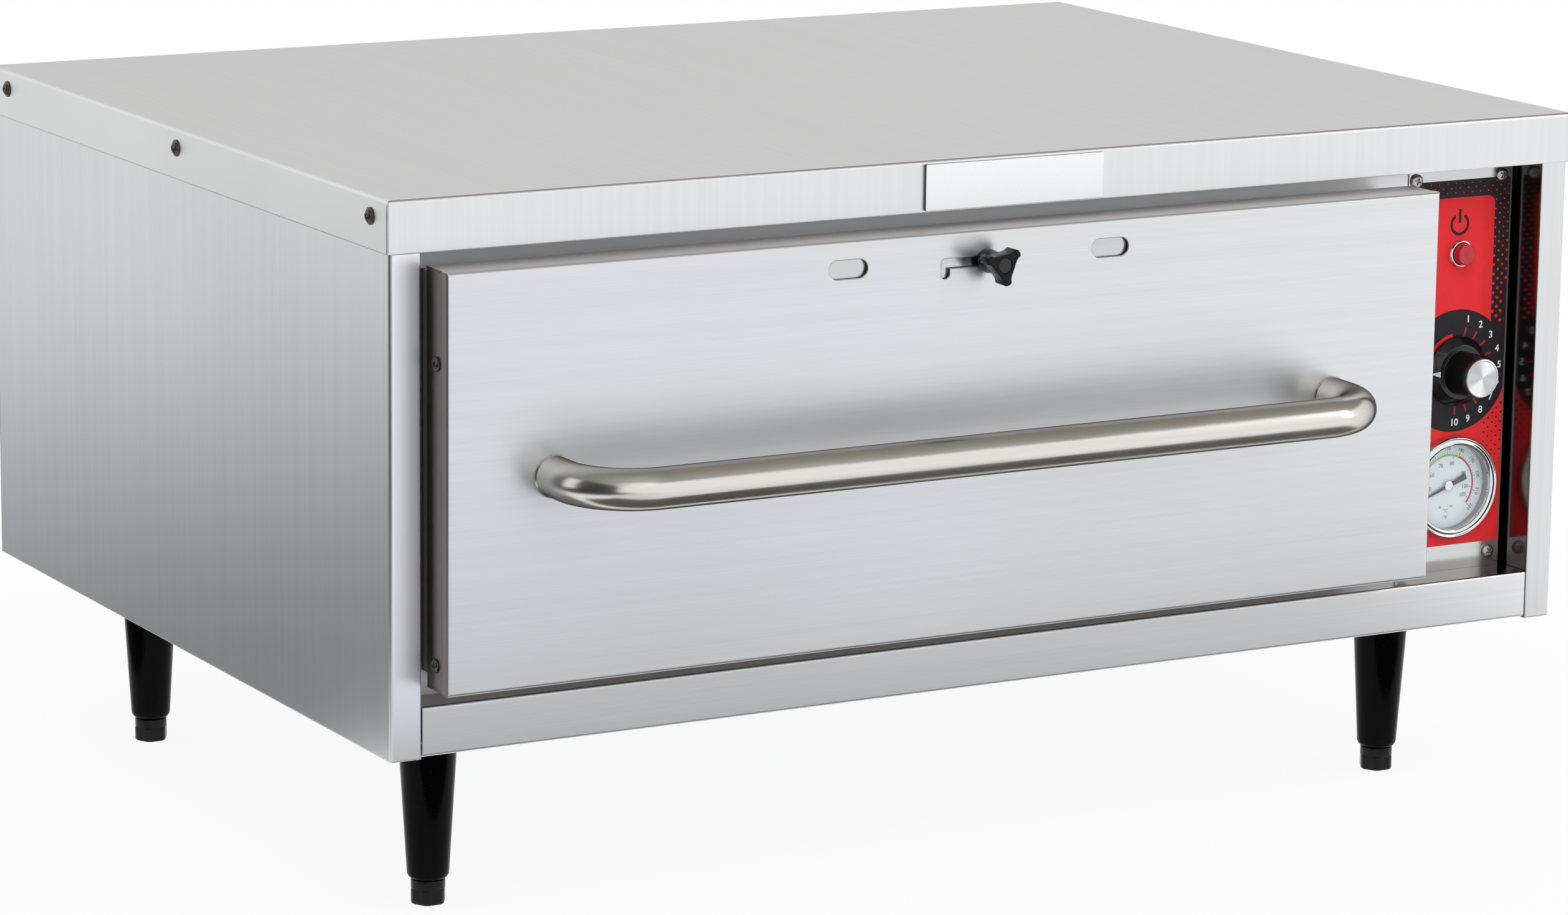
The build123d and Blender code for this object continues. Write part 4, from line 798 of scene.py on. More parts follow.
def screw_rows():
    """Every screw group of the object, in place of the CAD's plain ones."""
    low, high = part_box("cover_screws")
    cover_low, cover_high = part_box("top_cover")
    level = middle("cover_screws").z
    front_y, rear_y = low.y + 4.8 * MM, high.y - 4.8 * MM
    rows = [(y, level) for y in (front_y, (front_y + rear_y) / 2 - 0.5 * MM, rear_y)]
    head = pan_head(3.6 * MM, 2.0 * MM, washer=4.7 * MM)
    sides = (cover_low.x, cover_high.x)
    both_sides("cover_screws", head, sides, rows, "cabinet", "dark_screw", "cover_screws", 5)

    low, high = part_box("panel_screws")
    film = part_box("panel_overlay")[0].y
    reach = 4.0 * MM
    across, upward = (low.x + reach, high.x - reach), (low.z + reach, high.z - reach)
    corners = [(x, film, z) for x in across for z in upward]
    panel_head = pan_head(4.0 * MM, 1.9 * MM, skirt=0.5 * MM)
    repeated(
        "panel_screws_front", panel_head, corners, TO_FRONT, SCREW_STEEL, "cabinet", "screw_steel",
        ("panel_screws",),
    )

    low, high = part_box("drawer_side_screws")
    inner_low, inner_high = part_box("drawer_inner_panel")
    ends = [(low.y + reach, high.z - reach), (high.y - reach, low.z + reach)]
    end_head = pan_head(4.0 * MM, 1.9 * MM, skirt=0.5 * MM)
    sides = (inner_low.x, inner_high.x)
    both_sides("drawer_screws", end_head, sides, ends, "drawer", "screw_steel", "drawer_side_screws", 9)

    low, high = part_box("back_panel")
    inset = 9 * MM
    across = [low.x + inset + (high.x - low.x - 2 * inset) * step / 4 for step in range(5)]
    around = [(x, high.y, z) for x in across for z in (low.z + inset, high.z - 38 * MM)]
    back_head = pan_head(3.6 * MM, 1.8 * MM, skirt=0.4 * MM)
    repeated(
        "back_panel_screws", back_head, around, TO_BACK, SCREW_STEEL, "cabinet", "screw_steel", seed=11,
    )


# ---------------------------------------------------------------- handle
TUBE_STEPS = 48


def handle():
    """The bent bar, swept along its route of straights and quarter bends."""
    low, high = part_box("drawer_handle")
    face = high.y
    radius = 11.1 * MM
    bend = 36 * MM
    left, right = low.x + 11.8 * MM, high.x - 11.8 * MM
    reach = face - low.y - radius
    level = (low.z + high.z) / 2
    route = [((left, face, level), (0, -1, 0)), ((left, face - reach + bend, level), (0, -1, 0))]
    turns = 18
    for step in range(1, turns + 1):
        turn = math.radians(90 * step / turns)
        place = (left + bend * (1 - math.cos(turn)), face - reach + bend - bend * math.sin(turn), level)
        route.append((place, (math.sin(turn), -math.cos(turn), 0)))
    for step in range(turns + 1):
        turn = math.radians(90 * step / turns)
        place = (
            right - bend * (1 - math.sin(turn)), face - reach + bend - bend * math.cos(turn), level,
        )
        route.append((place, (math.cos(turn), math.sin(turn), 0)))
    route.append(((right, face, level), (0, 1, 0)))
    shape = bmesh.new()
    rings = []
    for place, way in route:
        side = Vector(way).cross(UPRIGHT).normalized()
        ring = []
        for step in range(TUBE_STEPS):
            angle = 2 * math.pi * step / TUBE_STEPS
            offset = side * radius * math.cos(angle) + UPRIGHT * radius * math.sin(angle)
            ring.append(shape.verts.new(Vector(place) + offset))
        rings.append(ring)
    joined(shape, rings)
    shape.faces.new(rings[0])
    shape.faces.new(rings[-1])
    for root in (left, right):
        weld = [(0, 0), (radius + 0.7 * MM, 0), (radius + 0.1 * MM, -1.4 * MM), (0, -1.4 * MM)]
        turned(shape, (root, face, level), rounded(weld, 0.5 * MM), steps=TUBE_STEPS)
    shaped("handle_bar", shape, TUBE_STEEL, "drawer", "polished_tube", ("drawer_handle",))


# ---------------------------------------------------------------- legs and feet
def legs_and_feet():
    """Four tapered legs with rounded shoulders, and their hexagonal levelling feet."""
    foot_names = ("foot_front_left", "foot_front_right", "foot_rear_left", "foot_rear_right")
    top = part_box("bottom_rail")[0].z - 1.0 * MM
    foot_top = 14.0 * MM
    shape = bmesh.new()
    for name in foot_names:
        centre = middle(name)
        centre.z = 0
        profile = [
            (0, top), (16.8 * MM, top), (16.8 * MM, top - 1.2 * MM), (11.5 * MM, foot_top + 2.4 * MM),
            (9.9 * MM, foot_top + 0.2 * MM), (0, foot_top + 0.2 * MM),
        ]
        turned(shape, centre, rounded(profile, 1.3 * MM), axis="Z", steps=72)
    shaped("tapered_legs", shape, LEG_ENAMEL, "cabinet", "leg_black", ("legs",))
    for name in foot_names:
        centre = middle(name)
        centre.z = 0
        shape = bmesh.new()
        hexagon = []
        across = 9.1 * MM
        for step in range(48):
            angle = math.radians(step * 7.5)
            flat = math.cos(math.radians(30)) / math.cos((angle % math.radians(60)) - math.radians(30))
            hexagon.append((math.cos(angle), math.sin(angle), min(flat * across * 1.15, 9.8 * MM)))
        levels = [(0.88, 0.0), (0.97, 0.5 * MM), (1.0, 1.4 * MM), (1.0, 8.1 * MM), (0.97, 8.5 * MM)]
        rings = [
            [
                shape.verts.new((centre.x + c * size * scale, centre.y + s * size * scale, z))
                for c, s, size in hexagon
            ]
            for scale, z in levels
        ]
        joined(shape, rings)
        shape.faces.new(rings[0])
        shape.faces.new(rings[-1])
        collar = [(0, 8.4 * MM), (9.4 * MM, 8.4 * MM), (9.4 * MM, 13.8 * MM), (0, 13.8 * MM)]
        turned(shape, centre, rounded(collar, 0.5 * MM), axis="Z", steps=60)
        thread_pitch = 1.25 * MM
        thread = [(0, 13.7 * MM)]
        for turn in range(39):
            base = 13.8 * MM + turn * thread_pitch
            thread += [(3.5 * MM, base), (4.0 * MM, base + thread_pitch / 2)]
        thread.append((0, 13.8 * MM + 39 * thread_pitch))
        turned(shape, centre, thread, axis="Z", steps=32)
        body = name.removeprefix("foot_") + "_foot"
        fitted(name + "_turned", mesh_from(shape, name), FOOT_BLACK, body, "leg_black", (name,))


# ---------------------------------------------------------------- star knob
ARM_ANGLES = (40, 160, 280)


def star_knob():
    """Three blunt arms on a waisted hub, with a sunk disc in the face."""
    low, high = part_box("star_knob")
    centre = middle("clamp_stud")
    face = low.y
    valley, reach, half_tip = 6.0 * MM, 11.2 * MM, 2.5 * MM
    outline = []
    for arm in ARM_ANGLES:
        turn = math.radians(arm)
        out, side = Vector((math.cos(turn), math.sin(turn))), Vector((-math.sin(turn), math.cos(turn)))
        tip_right = out * (reach - 1.1 * MM) - side * half_tip
        tip_left = out * (reach - 1.1 * MM) + side * half_tip
        right_flank, left_flank = [], []
        for step in range(1, 6):
            blend = step / 6
            for flank, sign, tip in ((right_flank, 1, tip_right), (left_flank, -1, tip_left)):
                swing = math.radians(arm + sign * (60 * blend * 0.75 - 60))
                valley_point = Vector((math.cos(swing), math.sin(swing))) * valley
                flank.append(valley_point.lerp(tip, blend**2.2))
        nose = side * half_tip * 0.45
        outline += [*right_flank, tip_right, out * reach - nose, out * reach + nose, tip_left]
        outline += reversed(left_flank)
        after = math.radians(arm + 60)
        outline.append(Vector((math.cos(after), math.sin(after))) * valley)
    shape = bmesh.new()
    depth = 9.5 * MM
    prism(shape, [(centre.x + p.x, centre.z + p.y) for p in outline], face, depth)
    arms = loose(mesh_from(shape, "star arms"))
    soften = arms.modifiers.new("soften", "BEVEL")
    soften.width = 0.35 * MM
    soften.segments = 3
    soften.limit_method = "ANGLE"
    soften.angle_limit = math.radians(50)
    sink_shape = bmesh.new()
    sink = rounded([(0, -1 * MM), (4.5 * MM, -1 * MM), (4.3 * MM, 0.7 * MM), (0, 0.7 * MM)], 0.15 * MM)
    turned(sink_shape, (centre.x, face, centre.z), sink, steps=64)
    body = recessed(plain_mesh(arms), mesh_from(sink_shape, "sunk disc"))
    hub_shape = bmesh.new()
    hub_shape.from_mesh(body)
    hub_back = high.y - face
    hub = [
        (0, depth - 1 * MM), (6.1 * MM, depth - 1 * MM), (6.0 * MM, depth + 1.5 * MM),
        (6.6 * MM, hub_back - 1.2 * MM), (6.6 * MM, hub_back), (0, hub_back),
    ]
    turned(hub_shape, (centre.x, face, centre.z), rounded(hub, 0.5 * MM), steps=64)
    mesh = bare_mesh(hub_shape, "star_knob_moulding")
    fitted("star_knob_moulding", mesh, STAR_BLACK, "clamp_knob", "star_black", ("star_knob",))
    pin_shape = bmesh.new()
    ring = [(0, 0.45 * MM), (4.0 * MM, 0.45 * MM), (4.0 * MM, 0.9 * MM), (0, 0.9 * MM)]
    turned(pin_shape, (centre.x, face, centre.z), rounded(ring, 0.1 * MM), steps=48)
    shaped("star_knob_plug", pin_shape, KNOB_BLACK, "clamp_knob", "knob_black")


# ---------------------------------------------------------------- thermostat knob
def heat_knob():
    """Skirt and grip in one moulding, its bright cap and the white pointer."""
    low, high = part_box("thermostat_knob")
    centre = middle("thermostat_shaft")
    centre.y = 0
    rear, front = high.y, low.y
    skirt_front = rear - 5.6 * MM
    profile = [
        (0, rear), (20.5 * MM, rear), (20.5 * MM, rear - 1.6 * MM), (15.8 * MM, skirt_front),
        (12.8 * MM, skirt_front), (12.1 * MM, front + 0.9 * MM), (11.4 * MM, front), (0, front),
    ]
    turned_piece(
        "knob_moulding", centre, profile, 0.5 * MM, 120, KNOB_BLACK, "heat_knob", "knob_black",
        ("thermostat_knob",),
    )

    cap_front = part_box("knob_cap")[0].y
    cap = [
        (0, front), (11.35 * MM, front), (11.35 * MM, cap_front + 0.4 * MM), (10.9 * MM, cap_front),
        (10.2 * MM, cap_front), (9.9 * MM, cap_front + 0.25 * MM), (0, cap_front + 0.25 * MM),
    ]
    turned_piece("spun_cap", centre, cap, 0.2 * MM, 120, SPUN, "heat_knob", "knob_cap", ("knob_cap",))

    shape = bmesh.new()
    slope = (rear - 1.6 * MM - skirt_front) / (20.5 * MM - 15.8 * MM)
    corners = [(19.9 * MM, 0.0), (15.4 * MM, 1.7 * MM), (15.4 * MM, -1.7 * MM)]
    lifts = (0.03 * MM, 0.13 * MM)
    layers = []
    for lift in lifts:
        ring = []
        for out, side in corners:
            y = skirt_front + (math.hypot(out, side) - 15.8 * MM) * slope - lift
            ring.append(shape.verts.new((centre.x - out, y, centre.z + side)))
        layers.append(ring)
    walled(shape, *layers)
    shaped("knob_pointer", shape, WHITE_INK, "heat_knob", "dial_white")


# ---------------------------------------------------------------- push button
def push_button():
    """The red lens and its chrome ring."""
    centre = middle("power_button")
    centre.y = 0
    low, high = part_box("power_button")
    lens = [
        (0, high.y), (6.15 * MM, high.y), (6.15 * MM, low.y + 0.7 * MM), (5.5 * MM, low.y),
        (4.6 * MM, low.y + 0.12 * MM), (0, low.y + 0.12 * MM),
    ]
    turned_piece(
        "button_lens", centre, lens, 0.5 * MM, 80, RED_LENS, "button", "button_red", ("power_button",),
    )
    low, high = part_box("button_bezel")
    ring = [
        (6.5 * MM, high.y), (6.5 * MM, low.y + 0.3 * MM), (6.9 * MM, low.y), (
            7.4 * MM, low.y + 0.1 * MM,
        ),
        (8.0 * MM, low.y + 1.0 * MM), (8.0 * MM, high.y),
    ]
    shape = bmesh.new()
    turned(shape, centre, ring, steps=80, closed=True)
    shaped("button_ring", shape, CHROME, "cabinet", "chrome", ("button_bezel",))


# ---------------------------------------------------------------- printed film
FILM_INK = 0.05 * MM
RED_RIGHT = 715.0 * MM
RED_TOP = 248.0 * MM
DOT_PITCH = (2.9 * MM, 5.5 * MM)


def dots_tree():
    """A staggered screen of dots in x and z whose size changes with height."""
    graph, given = geometry_group("Halftone dots", (
        ("Base", "NodeSocketGeometry"),
        ("Columns", "NodeSocketInt"), ("Rows", "NodeSocketInt"), ("Pitch X", "NodeSocketFloat"),
        ("Pitch Z", "NodeSocketFloat"), ("Corner", "NodeSocketVector"), ("Low Size", "NodeSocketFloat"),
        ("High Size", "NodeSocketFloat"), ("Thickness", "NodeSocketFloat"), (
            "Finish", "NodeSocketMaterial",
        ),
    ))
    total = graph.math("MULTIPLY", given["Columns"], given["Rows"])
    line = graph.node("GeometryNodeMeshLine", {"Count": total, "Offset": (0, 0, 0)}).outputs[0]
    index = graph.node("GeometryNodeInputIndex").outputs[0]
    column = graph.math("MODULO", index, given["Columns"])
    row = graph.math("FLOOR", graph.math("DIVIDE", index, given["Columns"]))
    stagger = graph.math("MULTIPLY", graph.math("MODULO", column, 2.0), 0.5)
    x = graph.math("MULTIPLY", column, given["Pitch X"])
    z = graph.math("MULTIPLY", graph.math("ADD", row, stagger), given["Pitch Z"])
    offset = graph.node("ShaderNodeCombineXYZ", {0: x, 2: z}).outputs[0]
    place = graph.node(
        "ShaderNodeVectorMath", {0: offset, 1: given["Corner"]}, operation="ADD",
    ).outputs[0]
    points = graph.node("GeometryNodeSetPosition", {"Geometry": line, "Position": place}).outputs[0]
    height = graph.math("DIVIDE", row, given["Rows"])
    size = graph.node(
        "ShaderNodeMapRange",
        {"Value": height, "To Min": given["Low Size"], "To Max": given["High Size"]},
    ).outputs[0]
    disc = graph.node(
        "GeometryNodeMeshCylinder", {"Vertices": 14, "Radius": 1.0, "Depth": given["Thickness"]}
    ).outputs[0]
    scale = graph.node("ShaderNodeCombineXYZ", {0: size, 1: size, 2: 1.0}).outputs[0]
    copies = graph.node(
        "GeometryNodeInstanceOnPoints",
        {"Points": points, "Instance": disc, "Scale": scale, "Rotation": (math.radians(90), 0, 0)},
    ).outputs[0]
    return realised(graph, copies, given["Finish"])


DOTS = dots_tree()


def halftone(name, columns, rows, corner, low_size, high_size, material, keep):
    """A patch of dots, cut off where the keep function refuses a point."""
    holder = loose(bpy.data.meshes.new("no base"), "holder")
    modifier = holder.modifiers.new("dots", "NODES")
    modifier.node_group = DOTS
    set_inputs(
        modifier, Columns=columns, Rows=rows, Pitch_X=DOT_PITCH[0], Pitch_Z=DOT_PITCH[1],
        Corner=corner, Low_Size=low_size, High_Size=high_size, Thickness=FILM_INK, Finish=material,
    )
    mesh = plain_mesh(holder)
    shape = bmesh.new()
    shape.from_mesh(mesh)
    refused = [face for face in shape.faces if not all(keep(v.co.x, v.co.z) for v in face.verts)]
    bmesh.ops.delete(shape, geom=refused, context="FACES")
    loose_ends = [vert for vert in shape.verts if not vert.link_faces]
    bmesh.ops.delete(shape, geom=loose_ends, context="VERTS")
    shape.to_mesh(mesh)
    shape.free()
    return fitted(name, mesh, material, "cabinet", "overlay_red")


def printed_film():
    """The red field, its rounded corner, both screens of dots, the dial disc and the signs."""
    low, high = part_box("panel_overlay")
    cover_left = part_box("top_cover")[0].x
    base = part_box("bottom_rail")[0].z - 1.0 * MM
    film = low.y
    red_right = cover_left + RED_RIGHT
    red_top = base + RED_TOP
    knob = middle("thermostat_shaft")
    button = middle("power_button")
    inset = 0.1 * MM

    corner = 5.0 * MM
    shape = bmesh.new()
    arc = [
        (red_right - corner + corner * math.sin(math.radians(step * 10)),
         red_top - corner + corner * math.cos(math.radians(step * 10)))
        for step in range(10)
    ]
    step_z = knob.z
    right_edge = high.x - inset
    field = [(low.x + inset, red_top), *arc, (red_right, step_z), (right_edge, step_z)]
    field += [(right_edge, low.z + inset), (low.x + inset, low.z + inset)]
    prism(shape, field, film - FILM_INK, FILM_INK)
    cut_holes("film_red_field", shape, RED_INK, film)

    disc_radius = 36 * MM
    shape = bmesh.new()
    edge = []
    for step in range(180):
        x, z = on_circle(knob, disc_radius, step * 2)
        edge.append((min(max(x, low.x + inset), right_edge), z))
    prism(shape, edge, film - 2 * FILM_INK, FILM_INK)
    cut_holes("film_dial_disc", shape, CHARCOAL_INK, film)

    ring = 19.0 * MM
    shape = bmesh.new()
    prism(shape, band(knob, ring, ring + 3.2 * MM, -62, -8), film - 3 * FILM_INK, FILM_INK)
    shaped("film_crescent", shape, RED_INK, "cabinet", "overlay_red")

    numbers, marks = bmesh.new(), bmesh.new()
    first, stride = 14.0, 18.45
    for number in range(1, 11):
        turn = first + stride * (number - 1)
        place = on_circle(knob, 30.7 * MM, turn)
        lettering(numbers, str(number), place, 5.7 * MM, film - 3 * FILM_INK, FILM_INK, bold=0.14 * MM)
        prism(marks, tick(knob, 19.5 * MM, 26.0 * MM, turn, 1.2 * MM), film - 3 * FILM_INK, FILM_INK)
    shaped("film_dial_numbers", numbers, WHITE_INK, "cabinet", "overlay_red")
    shaped("film_dial_marks", marks, TICK_INK, "cabinet", "overlay_red")

    sign = bmesh.new()
    sign_centre = Vector((button.x - 1.0 * MM, 0, base + 232.4 * MM))
    prism(sign, band(sign_centre, 4.9 * MM, 6.6 * MM, 33, 327, 5), film - 2 * FILM_INK, FILM_INK)
    bar = [(-0.85, 0.8), (0.85, 0.8), (0.85, 9.0), (-0.85, 9.0)]
    stroke = [(sign_centre.x + x * MM, sign_centre.z + z * MM) for x, z in bar]
    prism(sign, stroke, film - 2 * FILM_INK, FILM_INK)
    shaped("film_standby_sign", sign, DARK_INK, "cabinet", "overlay_red")

    first_column = cover_left + 718.7 * MM
    columns_left = 21
    start_x = first_column - columns_left * DOT_PITCH[0]
    phase = base + 193.1 * MM

    def on_film(x, z):
        on_disc = math.hypot(x - knob.x, z - knob.z) < disc_radius + 0.2 * MM
        return not on_disc and low.x + inset < x < right_edge

    def on_dark(x, z):
        in_band = x > red_right - 0.6 * MM or z > red_top + 0.2 * MM
        return in_band and on_film(x, z) and knob.z < z < high.z - inset

    rows = 21
    start = (start_x, film - 1.5 * FILM_INK, phase - 5.5 * MM * 9 + DOT_PITCH[1] / 2)
    halftone("film_red_dots", columns_left + 3, rows, start, 1.25 * MM, 0.36 * MM, RED_INK, on_dark)

    def on_red(x, z):
        return on_film(x, z) and z < knob.z and x > cover_left + 710 * MM

    start = (first_column - 3 * DOT_PITCH[0], film - 1.5 * FILM_INK, base + 78 * MM)
    halftone("film_dark_dots", 6, 11, start, 0.22 * MM, 0.95 * MM, DARK_INK, on_red)


def cut_holes(name, shape, material, film):
    """A layer of the film, cut out round the controls that pass through it."""
    layer = mesh_from(shape, name)
    cutter_shape = bmesh.new()
    for node, radius in (("power_button", 7.1), ("thermostat_shaft", 4.6), ("gauge_dial", 26.1)):
        centre = middle(node)
        centre.y = film
        hole = [(0, -1 * MM), (radius * MM, -1 * MM), (radius * MM, 1 * MM), (0, 1 * MM)]
        turned(cutter_shape, centre, hole, steps=96)
    cut = recessed(layer, mesh_from(cutter_shape, "holes"))
    fitted(name, cut, material, "cabinet", "overlay_red")


# ---------------------------------------------------------------- thermometer
DIAL_INK = 0.06 * MM
NEEDLE_BEARING = 201.0
NEEDLE_EDGE = ((-13.0, 1.8), (-2.6, 1.25), (2.6, 0.9), (15.5, 0.55), (19.4, 0.1))


def from_top(mathematical):
    """A bearing clockwise from the top, from an angle measured the mathematical way."""
    return 90 - mathematical


def thermometer():
    """Stepped chrome bezel, printed dial, needle and boss."""
    centre = middle("gauge_dial")
    centre.y = 0
    low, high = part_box("gauge_bezel")
    front, rear = low.y, high.y
    ring = [
        (25.6, rear), (25.6, front + 2.0 * MM), (24.8, front + 1.6 * MM), (25.2, front + 0.7 * MM),
        (26.6, front + 0.1 * MM), (27.6, front + 0.5 * MM), (28.3, front + 0.6 * MM),
        (29.2, front), (29.9, front + 0.7 * MM), (30.2, front + 2.0 * MM), (30.2, rear),
    ]
    profile = [(radius * MM, y) for radius, y in ring]
    shape = bmesh.new()
    turned(shape, centre, rounded([*profile, profile[0]], 0.35 * MM)[:-1], steps=144, closed=True)
    shaped("gauge_ring", shape, CHROME, "cabinet", "chrome", ("gauge_bezel",))

    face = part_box("gauge_dial")[0].y
    ink_front = face - DIAL_INK
    numbers, marks, green, rose = bmesh.new(), bmesh.new(), bmesh.new(), bmesh.new()
    for layer, start, end in ((green, 158, 66), (rose, 66, -40), (rose, 222, 205)):
        arc = band(centre, 17.3 * MM, 18.5 * MM, from_top(start), from_top(end))
        prism(layer, arc, ink_front, DIAL_INK)
    for step in range(51):
        value, angle = 120 + step * 2, 224.5 - step * 5.3
        long_mark = value % 10 == 0
        outer = 20.2 * MM if long_mark else 19.6 * MM
        width = 0.3 * MM if long_mark else 0.2 * MM
        prism(marks, tick(centre, 18.7 * MM, outer, from_top(angle), width), ink_front, DIAL_INK)
        if long_mark:
            bearing = from_top(angle)
            place = on_circle(centre, 21.8 * MM, bearing)
            lettering(numbers, str(value), place, 3.0 * MM, ink_front, DIAL_INK, spin=bearing)
    for value, angle in ((50, 186), (60, 149), (70, 113), (80, 77), (90, 28), (100, -8), (105, -30)):
        place = on_circle(centre, 12.9 * MM, from_top(angle))
        lettering(numbers, str(value), place, 3.2 * MM, ink_front, DIAL_INK)
        prism(
            marks, tick(centre, 15.9 * MM, 17.1 * MM, from_top(angle), 0.25 * MM), ink_front, DIAL_INK,
        )
    for sign, drop in (("°C", 15.3), ("°F", 19.3)):
        place = (centre.x - 0.6 * MM, centre.z - drop * MM)
        lettering(numbers, sign, place, 3.0 * MM, ink_front, DIAL_INK)
    for name, layer, material in (
        ("dial_numbers", numbers, GREY_INK), ("dial_marks", marks, GREY_INK),
        ("dial_green_arc", green, GREEN_INK), ("dial_red_arc", rose, ROSE_INK),
    ):
        shaped(name, layer, material, "cabinet", "dial_white")

    studs = bmesh.new()
    for offset in (-4.6, 3.4):
        stud = Vector((centre.x + offset * MM, face, centre.z - 12.6 * MM))
        dome = [(0, 0), (0.95 * MM, 0), (0.8 * MM, -0.45 * MM), (0, -0.45 * MM)]
        turned(studs, stud, rounded(dome, 0.15 * MM), steps=28)
    shaped("dial_studs", studs, BRASS, "cabinet", "dial_white")

    needle_low, needle_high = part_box("gauge_needle")
    turn = math.radians(NEEDLE_BEARING)
    along, side = Vector((math.cos(turn), math.sin(turn))), Vector((-math.sin(turn), math.cos(turn)))
    outline = [*NEEDLE_EDGE]
    outline += [(out, -half) for out, half in reversed(NEEDLE_EDGE)]
    flat = []
    for out, half in outline:
        point = along * out * MM + side * half * MM
        flat.append((centre.x + point.x, centre.z + point.y))
    shape = bmesh.new()
    plate = needle_low.y + 0.9 * MM
    prism(shape, flat, plate, 0.4 * MM)
    post = [(0, plate), (1.2 * MM, plate), (1.2 * MM, needle_high.y), (0, needle_high.y)]
    turned(shape, centre, post, steps=32)
    shaped("needle_plate", shape, NEEDLE_PAINT, "needle", "needle_black", ("gauge_needle",))
    shape = bmesh.new()
    boss = [(0, plate + 0.2 * MM), (3.0 * MM, plate + 0.2 * MM), (2.9 * MM, plate - 0.5 * MM)]
    boss += [(1.6 * MM, needle_low.y + 0.25 * MM), (0, needle_low.y + 0.2 * MM)]
    turned(shape, centre, rounded(boss, 0.5 * MM), steps=48)
    shaped("needle_boss", shape, CHROME, "needle", "chrome")


screw_rows()
handle()
legs_and_feet()
star_knob()
heat_knob()
push_button()
printed_film()
thermometer()


# ---------------------------------------------------------------- studio
def emitting(name, low_colour, high_colour, along=2, low_at=0.0, high_at=1.0):
    """A card's own tone, shaded from one edge to the other along an axis."""
    material = bpy.data.materials.new(name)
    material.use_nodes = True
    graph = Graph(material.node_tree)
    material.node_tree.nodes.remove(material.node_tree.nodes["Principled BSDF"])
    place = graph.node("ShaderNodeTexCoord").outputs["Object"]
    parts = graph.node("ShaderNodeSeparateXYZ", {0: place}).outputs
    shade = graph.spread(parts[along], 0.0, 1.0, low_at, high_at)
    glow = graph.node("ShaderNodeEmission", {"Color": graph.tint(shade, low_colour, high_colour)})
    output = material.node_tree.nodes["Material Output"]
    material.node_tree.links.new(glow.outputs[0], output.inputs["Surface"])
    return material


def card(name, corners, material):
    """A studio card that only shows in reflections."""
    mesh = bpy.data.meshes.new(name)
    mesh.from_pydata(corners, [], [(0, 1, 2, 3)])
    mesh.materials.append(material)
    sheet = loose(mesh, name)
    sheet.visible_camera = False
    sheet.visible_diffuse = False
    sheet.visible_shadow = False
    sheet.visible_transmission = False


def floor():
    """A pale floor that keeps a soft shadow and runs into the white background."""
    size = 14.0
    mesh = bpy.data.meshes.new("studio_floor")
    corners = [(-size, -size, 0), (size, -size, 0), (size, size, 0), (-size, size, 0)]
    mesh.from_pydata(corners, [], [(0, 1, 2, 3)])
    material = bpy.data.materials.new("studio floor")
    material.use_nodes = True
    graph = Graph(material.node_tree)
    shader = material.node_tree.nodes["Principled BSDF"]
    place = graph.node("ShaderNodeTexCoord").outputs["Object"]
    mottle = graph.noise(place, 3.0)
    graph.feed(shader, {
        "Base Color": graph.tint(mottle, (0.95, 0.95, 0.95), (0.97, 0.97, 0.97)), "Roughness": 0.9,
        "Specular IOR Level": 0.0,
    })
    white = graph.node("ShaderNodeEmission", {"Color": (1, 1, 1, 1), "Strength": 1.0})
    away = graph.node("ShaderNodeVectorMath", {0: place}, operation="LENGTH").outputs["Value"]
    blend = graph.node("ShaderNodeMixShader", {0: graph.spread(away, 0.9, 1.0, 0.35, 1.0)})
    output = material.node_tree.nodes["Material Output"]
    graph.tree.links.new(shader.outputs[0], blend.inputs[1])
    graph.tree.links.new(white.outputs[0], blend.inputs[2])
    graph.tree.links.new(blend.outputs[0], output.inputs["Surface"])
    mesh.materials.append(material)
    loose(mesh, "studio_floor")


def flat_card(name, low, high, material):
    """A level card between two corners."""
    corners = [(low[0], low[1]), (high[0], low[1]), (high[0], high[1]), (low[0], high[1])]
    card(name, [(x, y, low[2]) for x, y in corners], material)


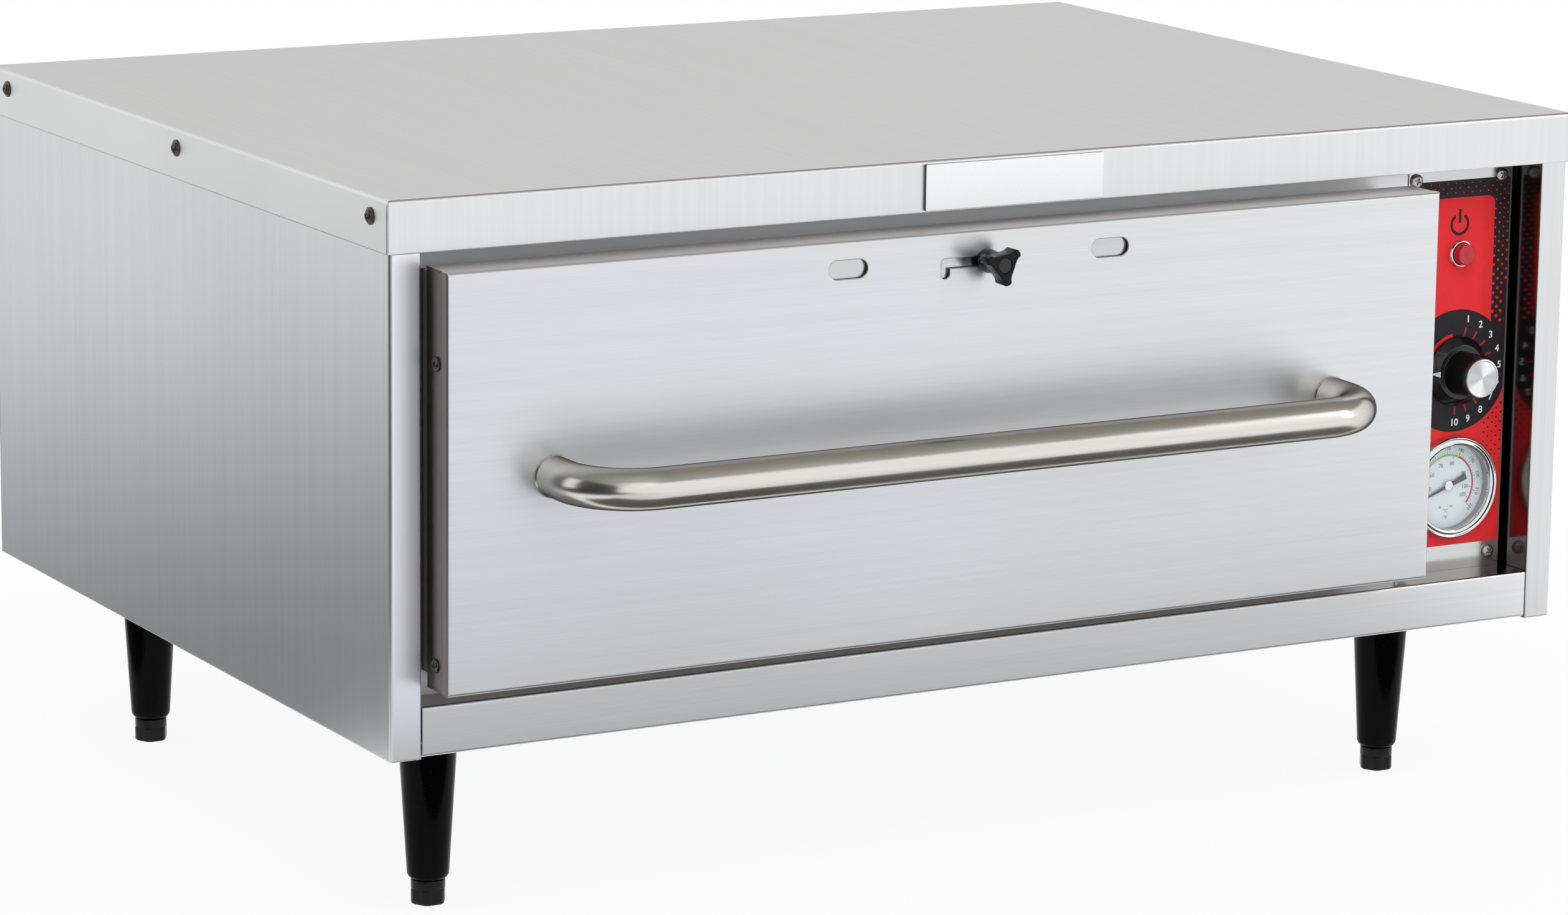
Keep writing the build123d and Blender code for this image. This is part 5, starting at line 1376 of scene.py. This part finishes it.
def cards():
    """Grey and dark cards that shape the reflections in the steel and the enamel."""
    dark = emitting("dark card", (0.03, 0.028, 0.026), (0.05, 0.047, 0.043))
    side_wall = [(-2.9, -3.4, 0.0), (-2.9, 0.1, 0.0), (-2.9, 0.1, 2.4), (-2.9, -3.4, 2.4)]
    card("card_left", side_wall, dark)
    flat_card("card_floor_far_left", (-2.9, -2.6, 0.003), (-0.85, 0.12, 0.003), dark)
    shade = emitting("low card", (0.10, 0.095, 0.09), (0.16, 0.155, 0.15), along=0)
    flat_card("card_floor_front", (-0.55, -0.60, 0.003), (0.5, -0.27, 0.003), shade)
    pale = emitting(
        "pale card", (0.78, 0.79, 0.815), (1.06, 1.065, 1.08), along=0, low_at=-0.5, high_at=0.7,
    )
    flat_card("card_floor_mid", (-0.85, -2.4, 0.002), (0.8, -0.62, 0.002), pale)
    rear = emitting(
        "rear card", (0.15, 0.15, 0.155), (0.92, 0.92, 0.92), along=1, low_at=0.0, high_at=2.0,
    )
    flat_card("card_floor_left", (-4.5, 0.12, 0.004), (-0.42, 4.5, 0.004), rear)
    ceiling = emitting(
        "ceiling card", (0.36, 0.345, 0.31), (0.26, 0.245, 0.22), along=1, low_at=-3.0, high_at=1.0,
    )
    flat_card("card_ceiling", (-3.5, -3.2, 2.6), (4.5, 1.2, 2.6), ceiling)
    back = emitting("back card", (0.62, 0.62, 0.61), (0.72, 0.72, 0.71), low_at=0.2, high_at=2.5)
    card("card_back", [(-1.0, 4.6, 0.0), (6.0, 4.6, 0.0), (6.0, 4.6, 3.4), (-1.0, 4.6, 3.4)], back)


def softbox(name, place, aim, size, power):
    light = bpy.data.lights.new(name, "AREA")
    light.shape = "RECTANGLE"
    light.size, light.size_y = size
    light.energy = power
    lamp = loose(light, name)
    lamp.location = place
    lamp.rotation_euler = (Vector(aim) - Vector(place)).to_track_quat("-Z", "Y").to_euler()


def backdrop():
    """White all round, as seen by the camera, in metal and through glass; softer as a light."""
    world = bpy.data.worlds.new("studio")
    bpy.context.scene.world = world
    world.use_nodes = True
    graph = Graph(world.node_tree)
    ray = graph.node("ShaderNodeLightPath").outputs
    seen = graph.math("MAXIMUM", ray["Is Camera Ray"], ray["Is Glossy Ray"])
    seen = graph.math("MAXIMUM", seen, ray["Is Transmission Ray"])
    background = world.node_tree.nodes["Background"]
    background.inputs["Color"].default_value = (1, 1, 1, 1)
    graph.tree.links.new(graph.spread(seen, 0.6, 1.0), background.inputs["Strength"])


CAMERA_PLACE = (-1.5518, -2.7612, 0.8537)
CAMERA_YAW = 29.221
CAMERA_PITCH = -11.865
CAMERA_ROLL = 0.677
CAMERA_LENS = 126.54


def photographer():
    """The camera where the photograph was taken from."""
    data = bpy.data.cameras.new("photograph")
    data.sensor_width = 36
    data.lens = CAMERA_LENS
    data.clip_end = 60
    camera = loose(data, "photograph")
    turn = Matrix.Rotation(math.radians(-CAMERA_YAW), 4, "Z")
    tilt = Matrix.Rotation(math.radians(90 + CAMERA_PITCH), 4, "X")
    roll = Matrix.Rotation(math.radians(CAMERA_ROLL), 4, "Z")
    camera.matrix_world = Matrix.Translation(CAMERA_PLACE) @ turn @ tilt @ roll
    bpy.context.scene.camera = camera


floor()
cards()
backdrop()
softbox("key", (-0.6, -2.2, 3.0), (0, 0, 0.3), (2.6, 1.4), 38)
softbox("strip", (2.2, -2.0, 1.2), (0, 0, 0.2), (0.22, 1.6), 7)
photographer()
bpy.context.scene.view_settings.view_transform = "Standard"
